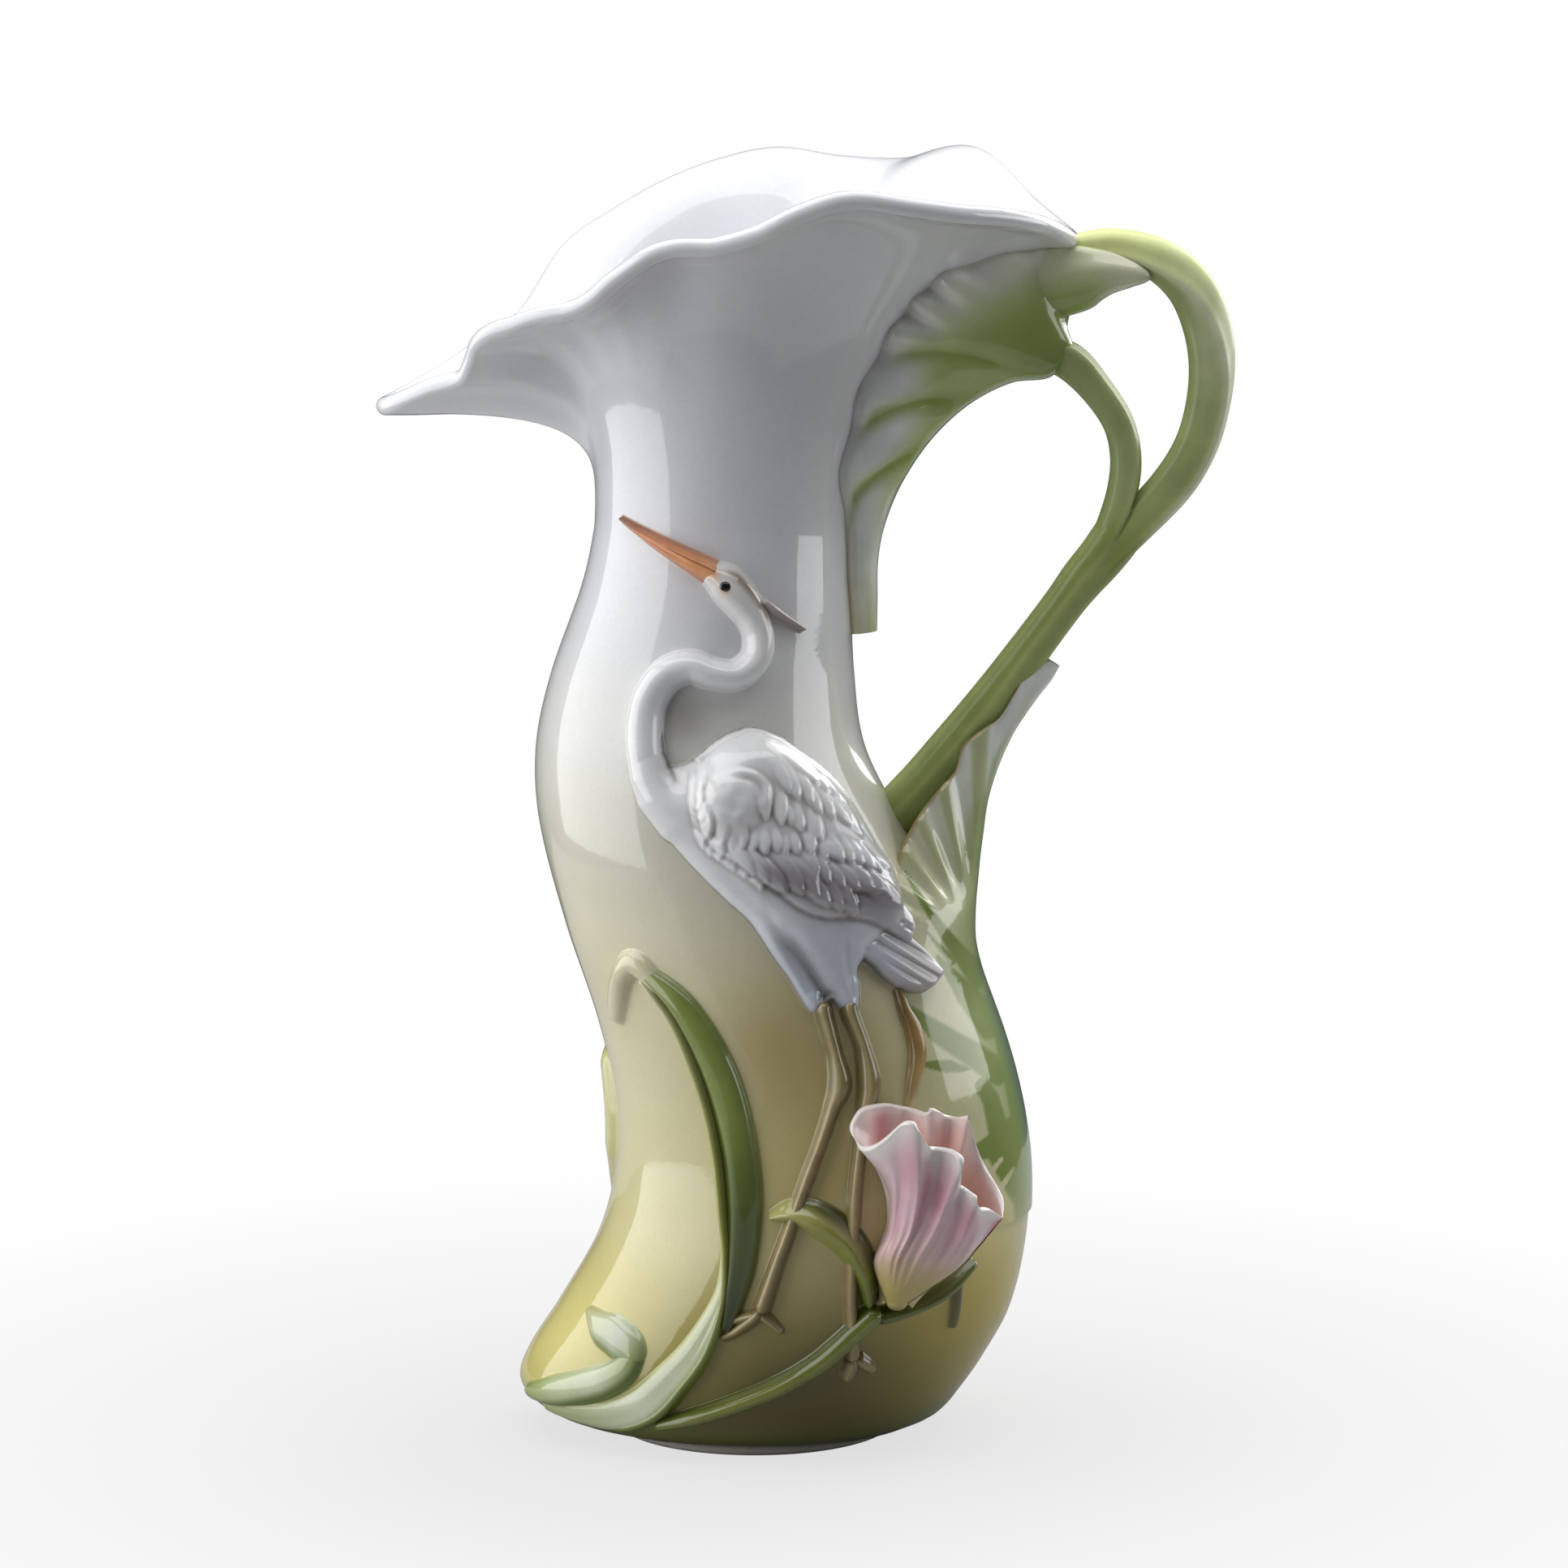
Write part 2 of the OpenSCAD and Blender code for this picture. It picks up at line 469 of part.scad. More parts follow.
// A ring round the handle's centre line, with half sizes in and across the handle's plane
function vine_ring(centre, along, half_w, half_d) =
    let (left = unit(cross([0, 1, 0], along)))
    [for (k = [0:vine_sides - 1])
        let (a = 360 * k / vine_sides)
        centre - left * (half_w * cos(a)) + [0, half_d * sin(a), 0]];
function vine_rings(rows, width, steps) =
    let (places = drawn_out(rows, steps), path = [for (p = places) handle_point(p[0], p[1])])
    [for (i = [0:len(path) - 1])
        vine_ring(path[i], heading(path, i), places[i][2] * width / 2, places[i][3] * vine_d / 2)];
function without_last(list) = [for (i = [0:len(list) - 2]) list[i]];

// The fork, where the two branches stand side by side on the stem's flat top
stem_line = [for (row = stem_shares) handle_point(row[0], row[1])];
fork_along = heading([stem_line[0], stem_line[1]], 0);
fork_left = unit(cross([0, 1, 0], fork_along));
outer_end = outer_branch_shares[len(outer_branch_shares) - 1];
inner_end = inner_branch_shares[len(inner_branch_shares) - 1];
outer_end_w = outer_end[2] * outer_w;
inner_end_w = inner_end[2] * inner_w;
fork_w = outer_end_w + inner_end_w + seat_gap;
function fork_ring(aside, width, depth_share) =
    let (centre = stem_line[0] + fork_left * aside - fork_along * seat_gap)
    vine_ring(centre, fork_along, width / 2, depth_share * vine_d / 2);
// The stem's straight run and the side of it that the lower leaf grows on
run_along = unit(stem_line[6] - stem_line[4]);
run_below = -unit(cross([0, 1, 0], run_along));
run_half_w = stem_shares[7][2] * stem_w / 2 + seat_gap;

// Half of a standing leaf's section: the skin over its edge, or its back along a root of mirrored points
function leaf_skin(root, edge) =
    [for (k = [0:leaf_cells])
        let (
            a = 180 * k / leaf_cells,
            middle = root[leaf_cells / 2],
            rim = root[0] + leaf_edge_t * unit(root[0] - middle + edge - middle),
            depth = rim[1] * sign(cos(a)) * pow(abs(cos(a)), leaf_round_share)
        )
        [mix(rim[0], edge[0], sin(a)), depth, mix(rim[2], edge[2], sin(a))]];
function vessel_root(level, angle) =
    [for (k = [0:leaf_cells])
        let (a = mix(angle, -angle, k / leaf_cells))
        vessel_point(a, level) + broad_gap * vessel_normal(a, level)];
function flat_root(middle, half) =
    [for (k = [0:leaf_cells]) middle + [0, mix(half, -half, k / leaf_cells), 0]];
function leaf_skins(roots, edges) = [for (i = [0:len(roots) - 1]) leaf_skin(roots[i], edges[i])];

// Pieces of the vessel

module foot_ring() {
    mid_r = (foot_od - foot_face) / 2;
    half = foot_face / 2;
    color([0.93, 0.92, 0.88])
        rotate_extrude($fn = 96)
            translate([mid_r, 0])
                polygon([
                    [-half + foot_round, 0], [half - foot_round, 0], [half, foot_round],
                    [half, foot_h], [-half, foot_h], [-half, foot_round]
                ]);
}

module body() {
    function ring(z, inset) = [for (k = [0:body_sides - 1]) body_point(-360 * k / body_sides, z, inset)];
    levels = [for (s = body_level_shares) mix(foot_h, body_h, s)];
    floor_z = foot_h + floor_t;
    inside = concat([floor_z], [for (z = levels) if (z > floor_z + wall / 2) z]);
    color([0.90, 0.90, 0.78])
        loft(concat(
            [for (z = levels) ring(z, 0)],
            [for (i = [len(inside) - 1:-1:0]) ring(inside[i], wall)]
        ));
}

module mouth() {
    function turned(k) = -360 * k / mouth_sides;
    function bead(angle) =
        let (out = mouth_point(angle, 1), n = vessel_normal(angle, 2), away = [cos(angle), sin(angle), 0])
        out - n * lip_t / 2 + away * lip_t / 2;
    lift = [0, 0, seat_gap];
    color([0.96, 0.97, 0.97])
        loft(concat(
            [for (t = flare_shares) [for (k = [0:mouth_sides - 1]) mouth_point(turned(k), t) + lift]],
            [[for (k = [0:mouth_sides - 1]) bead(turned(k)) + lift]],
            [for (i = [len(flare_shares) - 1:-1:0])
                [for (k = [0:mouth_sides - 1])
                    i == 0 ? body_point(turned(k), body_h, lip_t) + lift
                           : mouth_inside(turned(k), flare_shares[i]) + lift]]
        ), looped = true);
}

// Pieces of the handle

module handle_outer_branch() {
    root = anchor + [seat_gap, 0, -branch_root_shares[0] * outer_w];
    half_w = branch_root_shares[1] * outer_w / 2;
    half_d = branch_root_shares[2] * vine_d / 2;
    first = vine_ring(root, [1, 0, 0], half_w, half_d);
    last = fork_ring((outer_end_w - fork_w) / 2, outer_end_w, outer_end[3]);
    color([0.66, 0.76, 0.45])
        loft(concat([first], without_last(vine_rings(outer_branch_shares, outer_w, 3)), [last]));
}

module handle_inner_branch() {
    last = fork_ring((fork_w - inner_end_w) / 2, inner_end_w, inner_end[3]);
    color([0.50, 0.60, 0.33])
        loft(concat(without_last(vine_rings(inner_branch_shares, inner_w, 3)), [last]));
}

module handle_stem() {
    rings = vine_rings(stem_shares, stem_w, 3);
    end = len(rings) - 1;
    top = vine_ring(stem_line[0], fork_along, fork_w / 2, stem_shares[0][3] * vine_d / 2);
    foot = stem_line[len(stem_line) - 1];
    seat = [for (s = stem_seat_rings_shares) [for (p = rings[end]) lifted(mix(foot, p, s), 0)]];
    run = [for (i = [1:end - 1]) [for (p = rings[i]) outside(p)]];
    color([0.48, 0.58, 0.28]) loft(concat([top], run, seat));
}

// The edge of the upper leaf, which stands at least the leaf's lip clear of the vessel's side
function upper_leaf_edge(row) =
    let (p = handle_point(row[2], row[3]), side = vessel_point(0, row[0]))
    [max(p[0], side[0] + leaf_lip), 0, p[2]];
module upper_leaf() {
    rows = drawn_out(upper_leaf_shares, 2);
    roots = [for (r = rows) vessel_root(r[0], r[1])];
    color([0.72, 0.80, 0.58]) slab(leaf_skins(roots, [for (r = rows) upper_leaf_edge(r)]), roots);
}

module upper_leaf_curl() {
    last = upper_leaf_shares[len(upper_leaf_shares) - 1];
    root = upper_leaf_edge(last) + [seat_gap, 0, 0];
    path = [for (t = [0:0.2:1])
        root + curl_len * [t, 0, curl_shares[0] * t - curl_shares[1] * t * t]];
    color([0.86, 0.88, 0.76])
        loft([for (i = [0:len(path) - 1])
            let (half = mix(curl_w, curl_w * curl_shares[2], i / (len(path) - 1)) / 2)
            vine_ring(path[i], heading(path, i), half, half)]);
}

module lower_leaf() {
    low = drawn_out(lower_leaf_shares, 2);
    high = drawn_out(sheath_shares, 2);
    roots = concat(
        [for (r = low) vessel_root(r[0], r[1])],
        [for (r = high)
            let (middle = handle_point(r[0], r[1]) + run_below * run_half_w)
            [for (p = flat_root(middle, r[4] * sheath_d / 2)) outside(p, broad_gap)]]
    );
    edges = concat(
        [for (r = low) vessel_point(0, r[0]) + [r[2] * body_w, 0, 0]],
        [for (r = high) handle_point(r[2], r[3])]
    );
    skins = [for (skin = leaf_skins(roots, edges)) [for (p = skin) outside(p, broad_gap + leaf_edge_t)]];
    color([0.70, 0.78, 0.56]) slab(skins, roots);
}

// Pieces of the heron

module heron_body() color([0.93, 0.94, 0.96])
    relief(heron_body_shares, heron_w, heron_lift, cells = broad_cells, fullness = 1.5);
module heron_wing() color([0.90, 0.89, 0.89])
    relief(heron_wing_shares, wing_w, wing_lift, base = heron_lift + broad_gap, cells = broad_cells);
module heron_tail() color([0.86, 0.84, 0.84]) relief(heron_tail_shares, tail_w, heron_lift);
module heron_thighs() color([0.90, 0.92, 0.95]) {
    relief(heron_near_thigh_shares, thigh_w, heron_lift);
    relief(heron_far_thigh_shares, thigh_w, heron_lift);
}
module heron_neck() color([0.95, 0.95, 0.97]) relief(heron_neck_shares, neck_w, neck_lift);
module heron_head() color([0.92, 0.91, 0.91]) relief(heron_head_shares, head_w, neck_lift);
module heron_bill() color([0.86, 0.50, 0.28]) relief(heron_bill_shares, bill_w, neck_lift, steps = 2);
module heron_crest() color([0.72, 0.68, 0.66]) relief(heron_crest_shares, crest_w, neck_lift, steps = 2);
module heron_near_leg() color([0.58, 0.52, 0.34]) {
    relief(near_leg_upper_shares, leg_w, leg_lift, steps = 2);
    relief(near_leg_lower_shares, leg_w, leg_lift, steps = 2);
}
module heron_far_leg() color([0.52, 0.47, 0.34]) {
    relief(far_leg_upper_shares, leg_w, leg_lift, steps = 2);
    relief(far_leg_lower_shares, leg_w, leg_lift, steps = 2);
}
module heron_near_foot() color([0.56, 0.50, 0.33]) relief(near_foot_shares, leg_w, leg_lift, steps = 2);
module heron_far_foot() color([0.50, 0.45, 0.32]) relief(far_foot_shares, leg_w, leg_lift, steps = 2);

// Reeds and leaves on the body

module reed_leaf() color([0.36, 0.45, 0.22]) relief(reed_leaf_shares, reed_w, reed_lift, valley = 0.55);
module reed_leaf_tip() color([0.86, 0.86, 0.72])
    relief(reed_tip_shares, reed_tip_w, reed_lift, steps = 2);
module back_reed_leaf() color([0.74, 0.76, 0.52])
    relief(back_reed_shares, reed_w, reed_lift, side = 1, valley = 0.3);
module base_leaf() color([0.72, 0.77, 0.58])
    relief(base_leaf_shares, base_leaf_w, base_leaf_lift, valley = 0.3);
module toe_leaf() color([0.62, 0.70, 0.42]) relief(toe_leaf_shares, toe_leaf_w, base_leaf_lift, steps = 2);
module toe_sprout() color([0.72, 0.78, 0.60])
    relief(toe_sprout_shares, toe_leaf_w, base_leaf_lift, steps = 2);
module dry_stalk() color([0.62, 0.52, 0.30]) relief(dry_stalk_shares, stalk_w, leg_lift, steps = 2);

// Pieces of the flower

flower_z = flower_place_shares[1] * body_h;
flower_axis = unit(flower_lean_shares);
flower_across = unit(cross(flower_axis, [0, -1, 0]));
flower_back = cross(flower_axis, flower_across);
flower_base_r = flower_profile_shares[0][1] * flower_r;
// The petals start one stalk's thickness along the axis from the flower's seat on the body
flower_seat = lifted(body_point(seat_angle(flower_place_shares[0] * body_w, flower_z, -1), flower_z),
                     flower_seat_share * flower_base_r);
flower_root = flower_seat + flower_axis * stalk_t;
function flower_ring_point(turn, along, across, deep) =
    flower_root + flower_axis * along
    + flower_across * (across * cos(turn)) + flower_back * (deep * sin(turn));
function petal_point(turn, t, inset) =
    let (
        wave = 1 + ruffle_share * pow(t, 3) * cos(flower_ruffles * turn),
        r = row_at(flower_profile_shares, t)[1] * flower_r * wave,
        along = t * flower_len * (1 - mouth_tilt_share * t * cos(turn - tilt_turn))
    )
    flower_ring_point(turn, along, r - inset, r * flower_depth_share - inset);
module petal(turns) {
    count = ceil((turns[1] - turns[0]) / petal_step);
    bends = [for (i = [0:count]) mix(turns[0], turns[1], i / count)];
    heights = [for (row = flower_profile_shares) row[0]];
    slab([for (a = bends) [for (t = heights) petal_point(a, t, 0)]],
         [for (a = bends) [for (t = heights) petal_point(a, t, petal_t)]]);
}
module flower_front_petal() color([0.90, 0.78, 0.80]) petal(front_turns);
module flower_back_petal() color([0.90, 0.70, 0.70]) petal(back_turns);
module flower_base() color([0.82, 0.79, 0.58])
    loft([for (s = flower_swell_shares) [for (k = [0:vine_sides - 1])
        let (r = s[1] * flower_base_r)
        flower_ring_point(-360 * k / vine_sides, s[0] * stalk_t, r, r * flower_depth_share)]]);
module flower_stalk() color([0.45, 0.52, 0.22])
    relief(flower_stalk_shares, stalk_t, stalk_lift_share * stalk_t);
module flower_leaf() color([0.44, 0.50, 0.22])
    relief(flower_leaf_shares, flower_leaf_w, stalk_lift_share * stalk_t, valley = 0.4);
module side_shoot() color([0.40, 0.44, 0.20]) relief(side_shoot_shares, shoot_w, shoot_w, steps = 2);
module side_twig() color([0.46, 0.44, 0.24]) relief(side_twig_shares, shoot_w, shoot_w, steps = 2);

foot_ring();
body();
mouth();
handle_outer_branch();
handle_inner_branch();
handle_stem();
upper_leaf();
upper_leaf_curl();
lower_leaf();
heron_body();
heron_wing();
heron_tail();
heron_thighs();
heron_neck();
heron_head();
heron_bill();
heron_crest();
heron_near_leg();
heron_far_leg();
heron_near_foot();
heron_far_foot();
reed_leaf();
reed_leaf_tip();
back_reed_leaf();
base_leaf();
toe_leaf();
toe_sprout();
dry_stalk();
flower_front_petal();
flower_back_petal();
flower_base();
flower_stalk();
flower_leaf();
side_shoot();
side_twig();
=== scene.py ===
import math

import bpy
import numpy as np
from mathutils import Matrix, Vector


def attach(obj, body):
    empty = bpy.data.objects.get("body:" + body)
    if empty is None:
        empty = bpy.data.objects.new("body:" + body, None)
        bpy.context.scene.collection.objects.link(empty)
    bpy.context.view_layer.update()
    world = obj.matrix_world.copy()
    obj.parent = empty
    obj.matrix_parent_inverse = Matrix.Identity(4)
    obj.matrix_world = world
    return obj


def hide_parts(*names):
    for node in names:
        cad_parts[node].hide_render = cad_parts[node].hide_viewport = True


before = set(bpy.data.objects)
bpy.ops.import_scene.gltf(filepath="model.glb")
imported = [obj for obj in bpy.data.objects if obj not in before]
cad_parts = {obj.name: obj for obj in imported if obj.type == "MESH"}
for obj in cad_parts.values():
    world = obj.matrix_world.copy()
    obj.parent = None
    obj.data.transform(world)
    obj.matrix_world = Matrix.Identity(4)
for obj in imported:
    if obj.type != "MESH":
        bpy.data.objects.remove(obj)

# A glazed porcelain ewer: the CAD castings and sprigs built again with their fine relief and glazes.
# Lengths are millimetres until a mesh is made; the spout points to -X and the heron faces -Y.
MM = 0.001
BODY_H = 257.0
BODY_W = 142.0
BODY_D = 104.0
FOOT_H = 2.5
WALL = 4.0
FLOOR_Z = 8.5
HEEL_Z = 14.0
FOOT_INSET = 30.0
FLOOR_INSET = 34.0
MOUTH_REACH = 94.0
MOUTH_RISE = 90.5
LIP_T = 4.25
BEAD_R = 2.55
HANDLE_SPAN = 133.5
HANDLE_RISE = 151.0
HANDLE_SEAT_SHARE = 0.693
OUTER_W = 12.0
INNER_W = 9.0
STEM_W = 11.5
VINE_D = 12.5
EDGE_SHARE = 0.996
FRONT = -1
BACK = 1
FULL_TURN = 2 * math.pi
TINY = 1e-9
FAR = 1e9

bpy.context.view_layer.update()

# The body from foot to neck joint: rise, left edge, right edge, depth
BODY_ROWS = np.array([
    [0.000, -0.324, 0.324, 0.769], [0.010, -0.401, 0.366, 0.846], [0.037, -0.458, 0.408, 0.894],
    [0.069, -0.447, 0.447, 0.923], [0.124, -0.385, 0.499, 0.962], [0.205, -0.304, 0.530, 1.000],
    [0.285, -0.271, 0.533, 1.000], [0.363, -0.275, 0.511, 0.981], [0.442, -0.306, 0.469, 0.962],
    [0.548, -0.368, 0.391, 0.923], [0.658, -0.417, 0.282, 0.885], [0.737, -0.423, 0.213, 0.846],
    [0.815, -0.394, 0.192, 0.769], [0.914, -0.332, 0.185, 0.683], [0.972, -0.309, 0.183, 0.639],
    [1.000, -0.306, 0.183, 0.635],
])
# Reach and rise of the lip every 15 degrees, from the handle round by the back
LIP_REACH = np.array([
    1.000, 0.925, 0.844, 0.765, 0.682, 0.618, 0.578, 0.562, 0.569, 0.620, 0.660, 0.769,
    0.975, 0.785, 0.673, 0.600, 0.571, 0.566, 0.575, 0.611, 0.690, 0.775, 0.865, 0.946,
])
LIP_RISE = np.array([
    0.773, 0.856, 0.994, 0.952, 0.957, 0.982, 0.950, 0.895, 0.818, 0.713, 0.519, 0.403,
    0.271, 0.405, 0.553, 0.599, 0.657, 0.779, 0.813, 0.851, 0.931, 0.917, 0.878, 0.829,
])
# Fine folds of the front lip: turn in degrees, then rise and reach in millimetres
LIP_FOLDS = np.array([
    [180, 0.0, 0.0], [189, -0.3, -0.6], [195, -2.4, -2.0], [199, -0.6, -0.4], [202, 0.7, 1.4],
    [206, 0.0, 2.4], [211, -1.3, 1.8], [218, -0.5, 0.4], [226, -0.3, -0.4], [233, 1.0, 0.2],
    [240, 3.2, 0.9], [248, 2.2, 0.5], [256, 0.0, -0.5], [268, -1.7, -1.0], [280, -0.9, -0.2],
    [288, 0.7, 0.6], [296, 0.0, 0.3], [320, -1.4, 0.0], [336, 0.0, 0.0], [360, 0.0, 0.0],
])
# The flare at the spout rises steeply before it turns outwards
SPOUT_POWER = 0.58


# Small helpers for numbers and curves

def mix(a, b, t):
    return a + (b - a) * t


def smooth(low, high, value):
    t = np.clip((value - low) / (high - low), 0, 1)
    return t * t * (3 - 2 * t)


def bell(value, centre, width):
    return np.exp(-((value - centre) / width) ** 2)


def unit(v):
    return v / np.maximum(np.linalg.norm(v, axis=-1, keepdims=True), TINY)


def smooth_max(a, b, blend):
    return 0.5 * (a + b + np.sqrt((a - b) ** 2 + blend ** 2))


def row_at(rows, key):
    """Smooth curve through rows whose first column is the key."""
    keys = rows[:, 0]
    slopes = np.empty_like(rows)
    slopes[1:-1] = (rows[2:] - rows[:-2]) / (keys[2:] - keys[:-2])[:, None]
    slopes[0] = (rows[1] - rows[0]) / (keys[1] - keys[0])
    slopes[-1] = (rows[-1] - rows[-2]) / (keys[-1] - keys[-2])
    key = np.clip(key, keys[0], keys[-1])
    i = np.clip(np.searchsorted(keys, key, side="right") - 1, 0, len(keys) - 2)
    span = (keys[i + 1] - keys[i])[..., None]
    t = (key - keys[i])[..., None] / span
    start = rows[i] * (1 + 2 * t) * (1 - t) ** 2 + slopes[i] * span * t * (1 - t) ** 2
    end = rows[i + 1] * t * t * (3 - 2 * t) + slopes[i + 1] * span * t * t * (t - 1)
    return start + end


def between(a, b, c, d, t):
    """Smooth curve from b to c, given their neighbours a and d."""
    bend = 2 * a - 5 * b + 4 * c - d
    twist = 3 * b - a - 3 * c + d
    return (2 * b + (c - a) * t + bend * t * t + twist * t ** 3) / 2


def round_share(shares, angle):
    count = len(shares)
    place = np.mod(angle / FULL_TURN * count, count)
    i = np.floor(place).astype(int)
    near = [shares[(i + k) % count] for k in (-1, 0, 1, 2)]
    return between(*near, place - i)


def curve_through(rows, place):
    """Smooth curve through rows, place 0 at the first and 1 at the last."""
    last = len(rows) - 1
    q = np.clip(place, 0, 1) * last
    i = np.minimum(np.floor(q).astype(int), last - 1)
    near = [rows[np.clip(i + k, 0, last)] for k in (-1, 0, 1, 2)]
    return between(*near, (q - i)[..., None])


def drawn_out(rows, count, scale):
    """Rows drawn out to count evenly spaced ones; scale turns the first columns into lengths."""
    rows = np.array(rows, float)
    fine = curve_through(rows, np.linspace(0, 1, count * 8))
    steps = np.linalg.norm(np.diff(fine[:, :len(scale)] * scale, axis=0), axis=1)
    run = np.concatenate([[0], np.cumsum(steps)])
    wanted = np.linspace(0, run[-1], count)
    even = [np.interp(wanted, run, fine[:, k]) for k in range(rows.shape[1])]
    return np.stack(even, -1), wanted


def along_line(points, start, end):
    """Share of the way along a line at which points lie, and their distance from it."""
    start = np.array(start, float)
    run = np.array(end, float) - start
    rel = points - start
    t = np.clip(rel @ run / (run @ run), 0, 1)
    away = rel - t[..., None] * run
    return t, np.hypot(away[..., 0], away[..., 1])


# The vessel's surfaces

def body_section(z):
    row = row_at(BODY_ROWS, (z - FOOT_H) / (BODY_H - FOOT_H))
    middle = (row[..., 1] + row[..., 2]) / 2 * BODY_W
    half_width = (row[..., 2] - row[..., 1]) / 2 * BODY_W
    return middle, half_width, row[..., 3] / 2 * BODY_D


def body_point(angle, z, inset=0.0):
    middle, a, b = body_section(z)
    x = middle + (a - inset) * np.cos(angle)
    y = (b - inset) * np.sin(angle)
    return np.stack(np.broadcast_arrays(x, y, z), -1)


NECK_X = float(body_section(np.array(BODY_H))[0])


def lip_point(angle):
    folds = row_at(LIP_FOLDS, np.degrees(np.mod(angle, FULL_TURN)))
    reach = round_share(LIP_REACH, angle) * MOUTH_REACH + folds[..., 2]
    rise = BODY_H + round_share(LIP_RISE, angle) * MOUTH_RISE + folds[..., 1]
    return np.stack([NECK_X + reach * np.cos(angle), reach * np.sin(angle), rise], -1)


def eased(share, power):
    return np.sign(share) * np.abs(share) ** power


def mouth_point(angle, t):
    angle, t = np.broadcast_arrays(angle, t)
    low = body_point(angle, np.full(angle.shape, BODY_H))
    turn = t * math.pi / 2
    power = mix(1.0, SPOUT_POWER, np.maximum(-np.cos(angle), 0) ** 4)
    out = 1 - eased(np.cos(turn), power)
    up = eased(np.sin(turn), power)
    return low + (lip_point(angle) - low) * np.stack([out, out, up], -1)


def vessel_point(angle, level):
    angle, level = np.broadcast_arrays(np.asarray(angle, float), np.asarray(level, float))
    low = body_point(angle, np.minimum(level, 1) * BODY_H)
    high = mouth_point(angle, np.clip(level - 1, 0, 1.02))
    return np.where((level <= 1)[..., None], low, high)


def vessel_normal(angle, level):
    angle, level = np.broadcast_arrays(np.asarray(angle, float), np.asarray(level, float))
    turn = vessel_point(angle + 0.01, level) - vessel_point(angle - 0.01, level)
    rise = vessel_point(angle, level + 0.004) - vessel_point(angle, level - 0.004)
    return unit(np.cross(turn, rise))


def seat_angle(x, z, side):
    """Angle on the body behind a place in the front view, or the back view."""
    middle, a, _ = body_section(z)
    return side * np.arccos(np.clip((x - middle) / a, -EDGE_SHARE, EDGE_SHARE))


def angle_at(points):
    middle, a, b = body_section(points[..., 2])
    return np.arctan2(points[..., 1] / b, (points[..., 0] - middle) / a)


def over_body(angle, z, height):
    return body_point(angle, z) + height[..., None] * vessel_normal(angle, z / BODY_H)


def handle_point(reach, rise):
    seat_z = HANDLE_SEAT_SHARE * BODY_H
    top_z = BODY_H + LIP_RISE[0] * MOUTH_RISE + LIP_T / 2
    x = NECK_X + reach * HANDLE_SPAN
    return np.stack(np.broadcast_arrays(x, 0 * x, mix(seat_z, top_z, rise)), -1)


# Painted colours: written as on screen from 0 to 255, one row per stop

def painted(stops, key):
    stops = np.array(stops, float)
    bands = [np.interp(key, stops[:, 0], stops[:, k]) for k in (1, 2, 3)]
    return np.stack(bands, -1)


def blend(under, over, amount):
    return under + (np.array(over, float) - under) * np.asarray(amount)[..., None]


def to_light(colour):
    share = np.clip(colour / 255, 0, 1)
    return np.where(share <= 0.04045, share / 12.92, ((share + 0.055) / 1.055) ** 2.4)


def stroke(flat, start, end, start_w, end_w):
    """A soft brush stroke in the front view, 1 on its line and 0 outside its width."""
    t, away = along_line(flat, start, end)
    width = mix(start_w, end_w, t)
    return 1 - smooth(0.72 * width, width, away)


GROUND_STOPS = [
    [0, 116, 120, 52], [6, 140, 138, 58], [16, 182, 173, 84], [34, 220, 210, 130],
    [60, 232, 225, 168], [95, 234, 228, 184], [130, 229, 223, 188], [160, 231, 228, 207],
    [190, 234, 234, 226], [225, 238, 239, 242], [257, 240, 242, 248], [350, 245, 247, 252],
]
# Green strokes painted over the lower leaf and the body beside it: start, end, widths
LEAF_STROKES = [
    [(61.6, 127.8), (53.2, 140.3), 3.0, 1.9], [(53.2, 140.3), (40.7, 158.9), 1.9, 0.3],
    [(53.7, 134.8), (46.8, 143.8), 1.2, 0.3], [(64.6, 115.1), (57.5, 125.5), 3.6, 3.0],
    [(57.5, 125.5), (49.6, 136.8), 3.0, 0.7], [(67.0, 102.7), (59.3, 109.8), 3.4, 3.4],
    [(59.3, 109.8), (49.9, 117.0), 3.4, 3.0], [(49.9, 117.0), (40.0, 126.0), 3.0, 0.6],
    [(52.4, 108.0), (46.2, 109.3), 2.0, 1.0], [(52.4, 108.0), (58.6, 106.1), 2.0, 0.3],
    [(61.8, 101.3), (64.3, 96.8), 2.2, 2.6], [(64.3, 96.8), (66.5, 87.8), 2.6, 3.2],
    [(60.5, 84.0), (72.2, 86.0), 2.6, 6.5], [(66.0, 82.5), (75.0, 70.0), 3.0, 6.0],
]
# Pale gaps between the lowest strokes
LEAF_GAPS = [[(61.5, 75.0), (67.2, 80.4), 1.3, 0.8], [(65.0, 70.5), (70.6, 76.4), 1.4, 0.8]]
# The midrib at the leaf's right edge: across, up, half width
LEAF_MIDRIB = [
    (62.4, 152, 1.2), (63.6, 136, 1.6), (66, 120, 2.4), (70, 104, 3.0), (73, 92, 3.6), (75, 78, 4.4),
    (75, 62, 4.6),
]


def leaf_paint(x, z):
    """How much green the brush strokes lay down at places in the front view."""
    flat = np.stack([x, z], -1)
    amount = np.zeros(np.shape(x))
    for row in LEAF_STROKES:
        amount = np.maximum(amount, stroke(flat, *row))
    for row in LEAF_GAPS:
        amount = amount * (1 - stroke(flat, *row))
    for start, end in zip(LEAF_MIDRIB[:-1], LEAF_MIDRIB[1:]):
        amount = np.maximum(amount, stroke(flat, start[:2], end[:2], start[2], end[2]))
    return amount * smooth(56, 76, z)


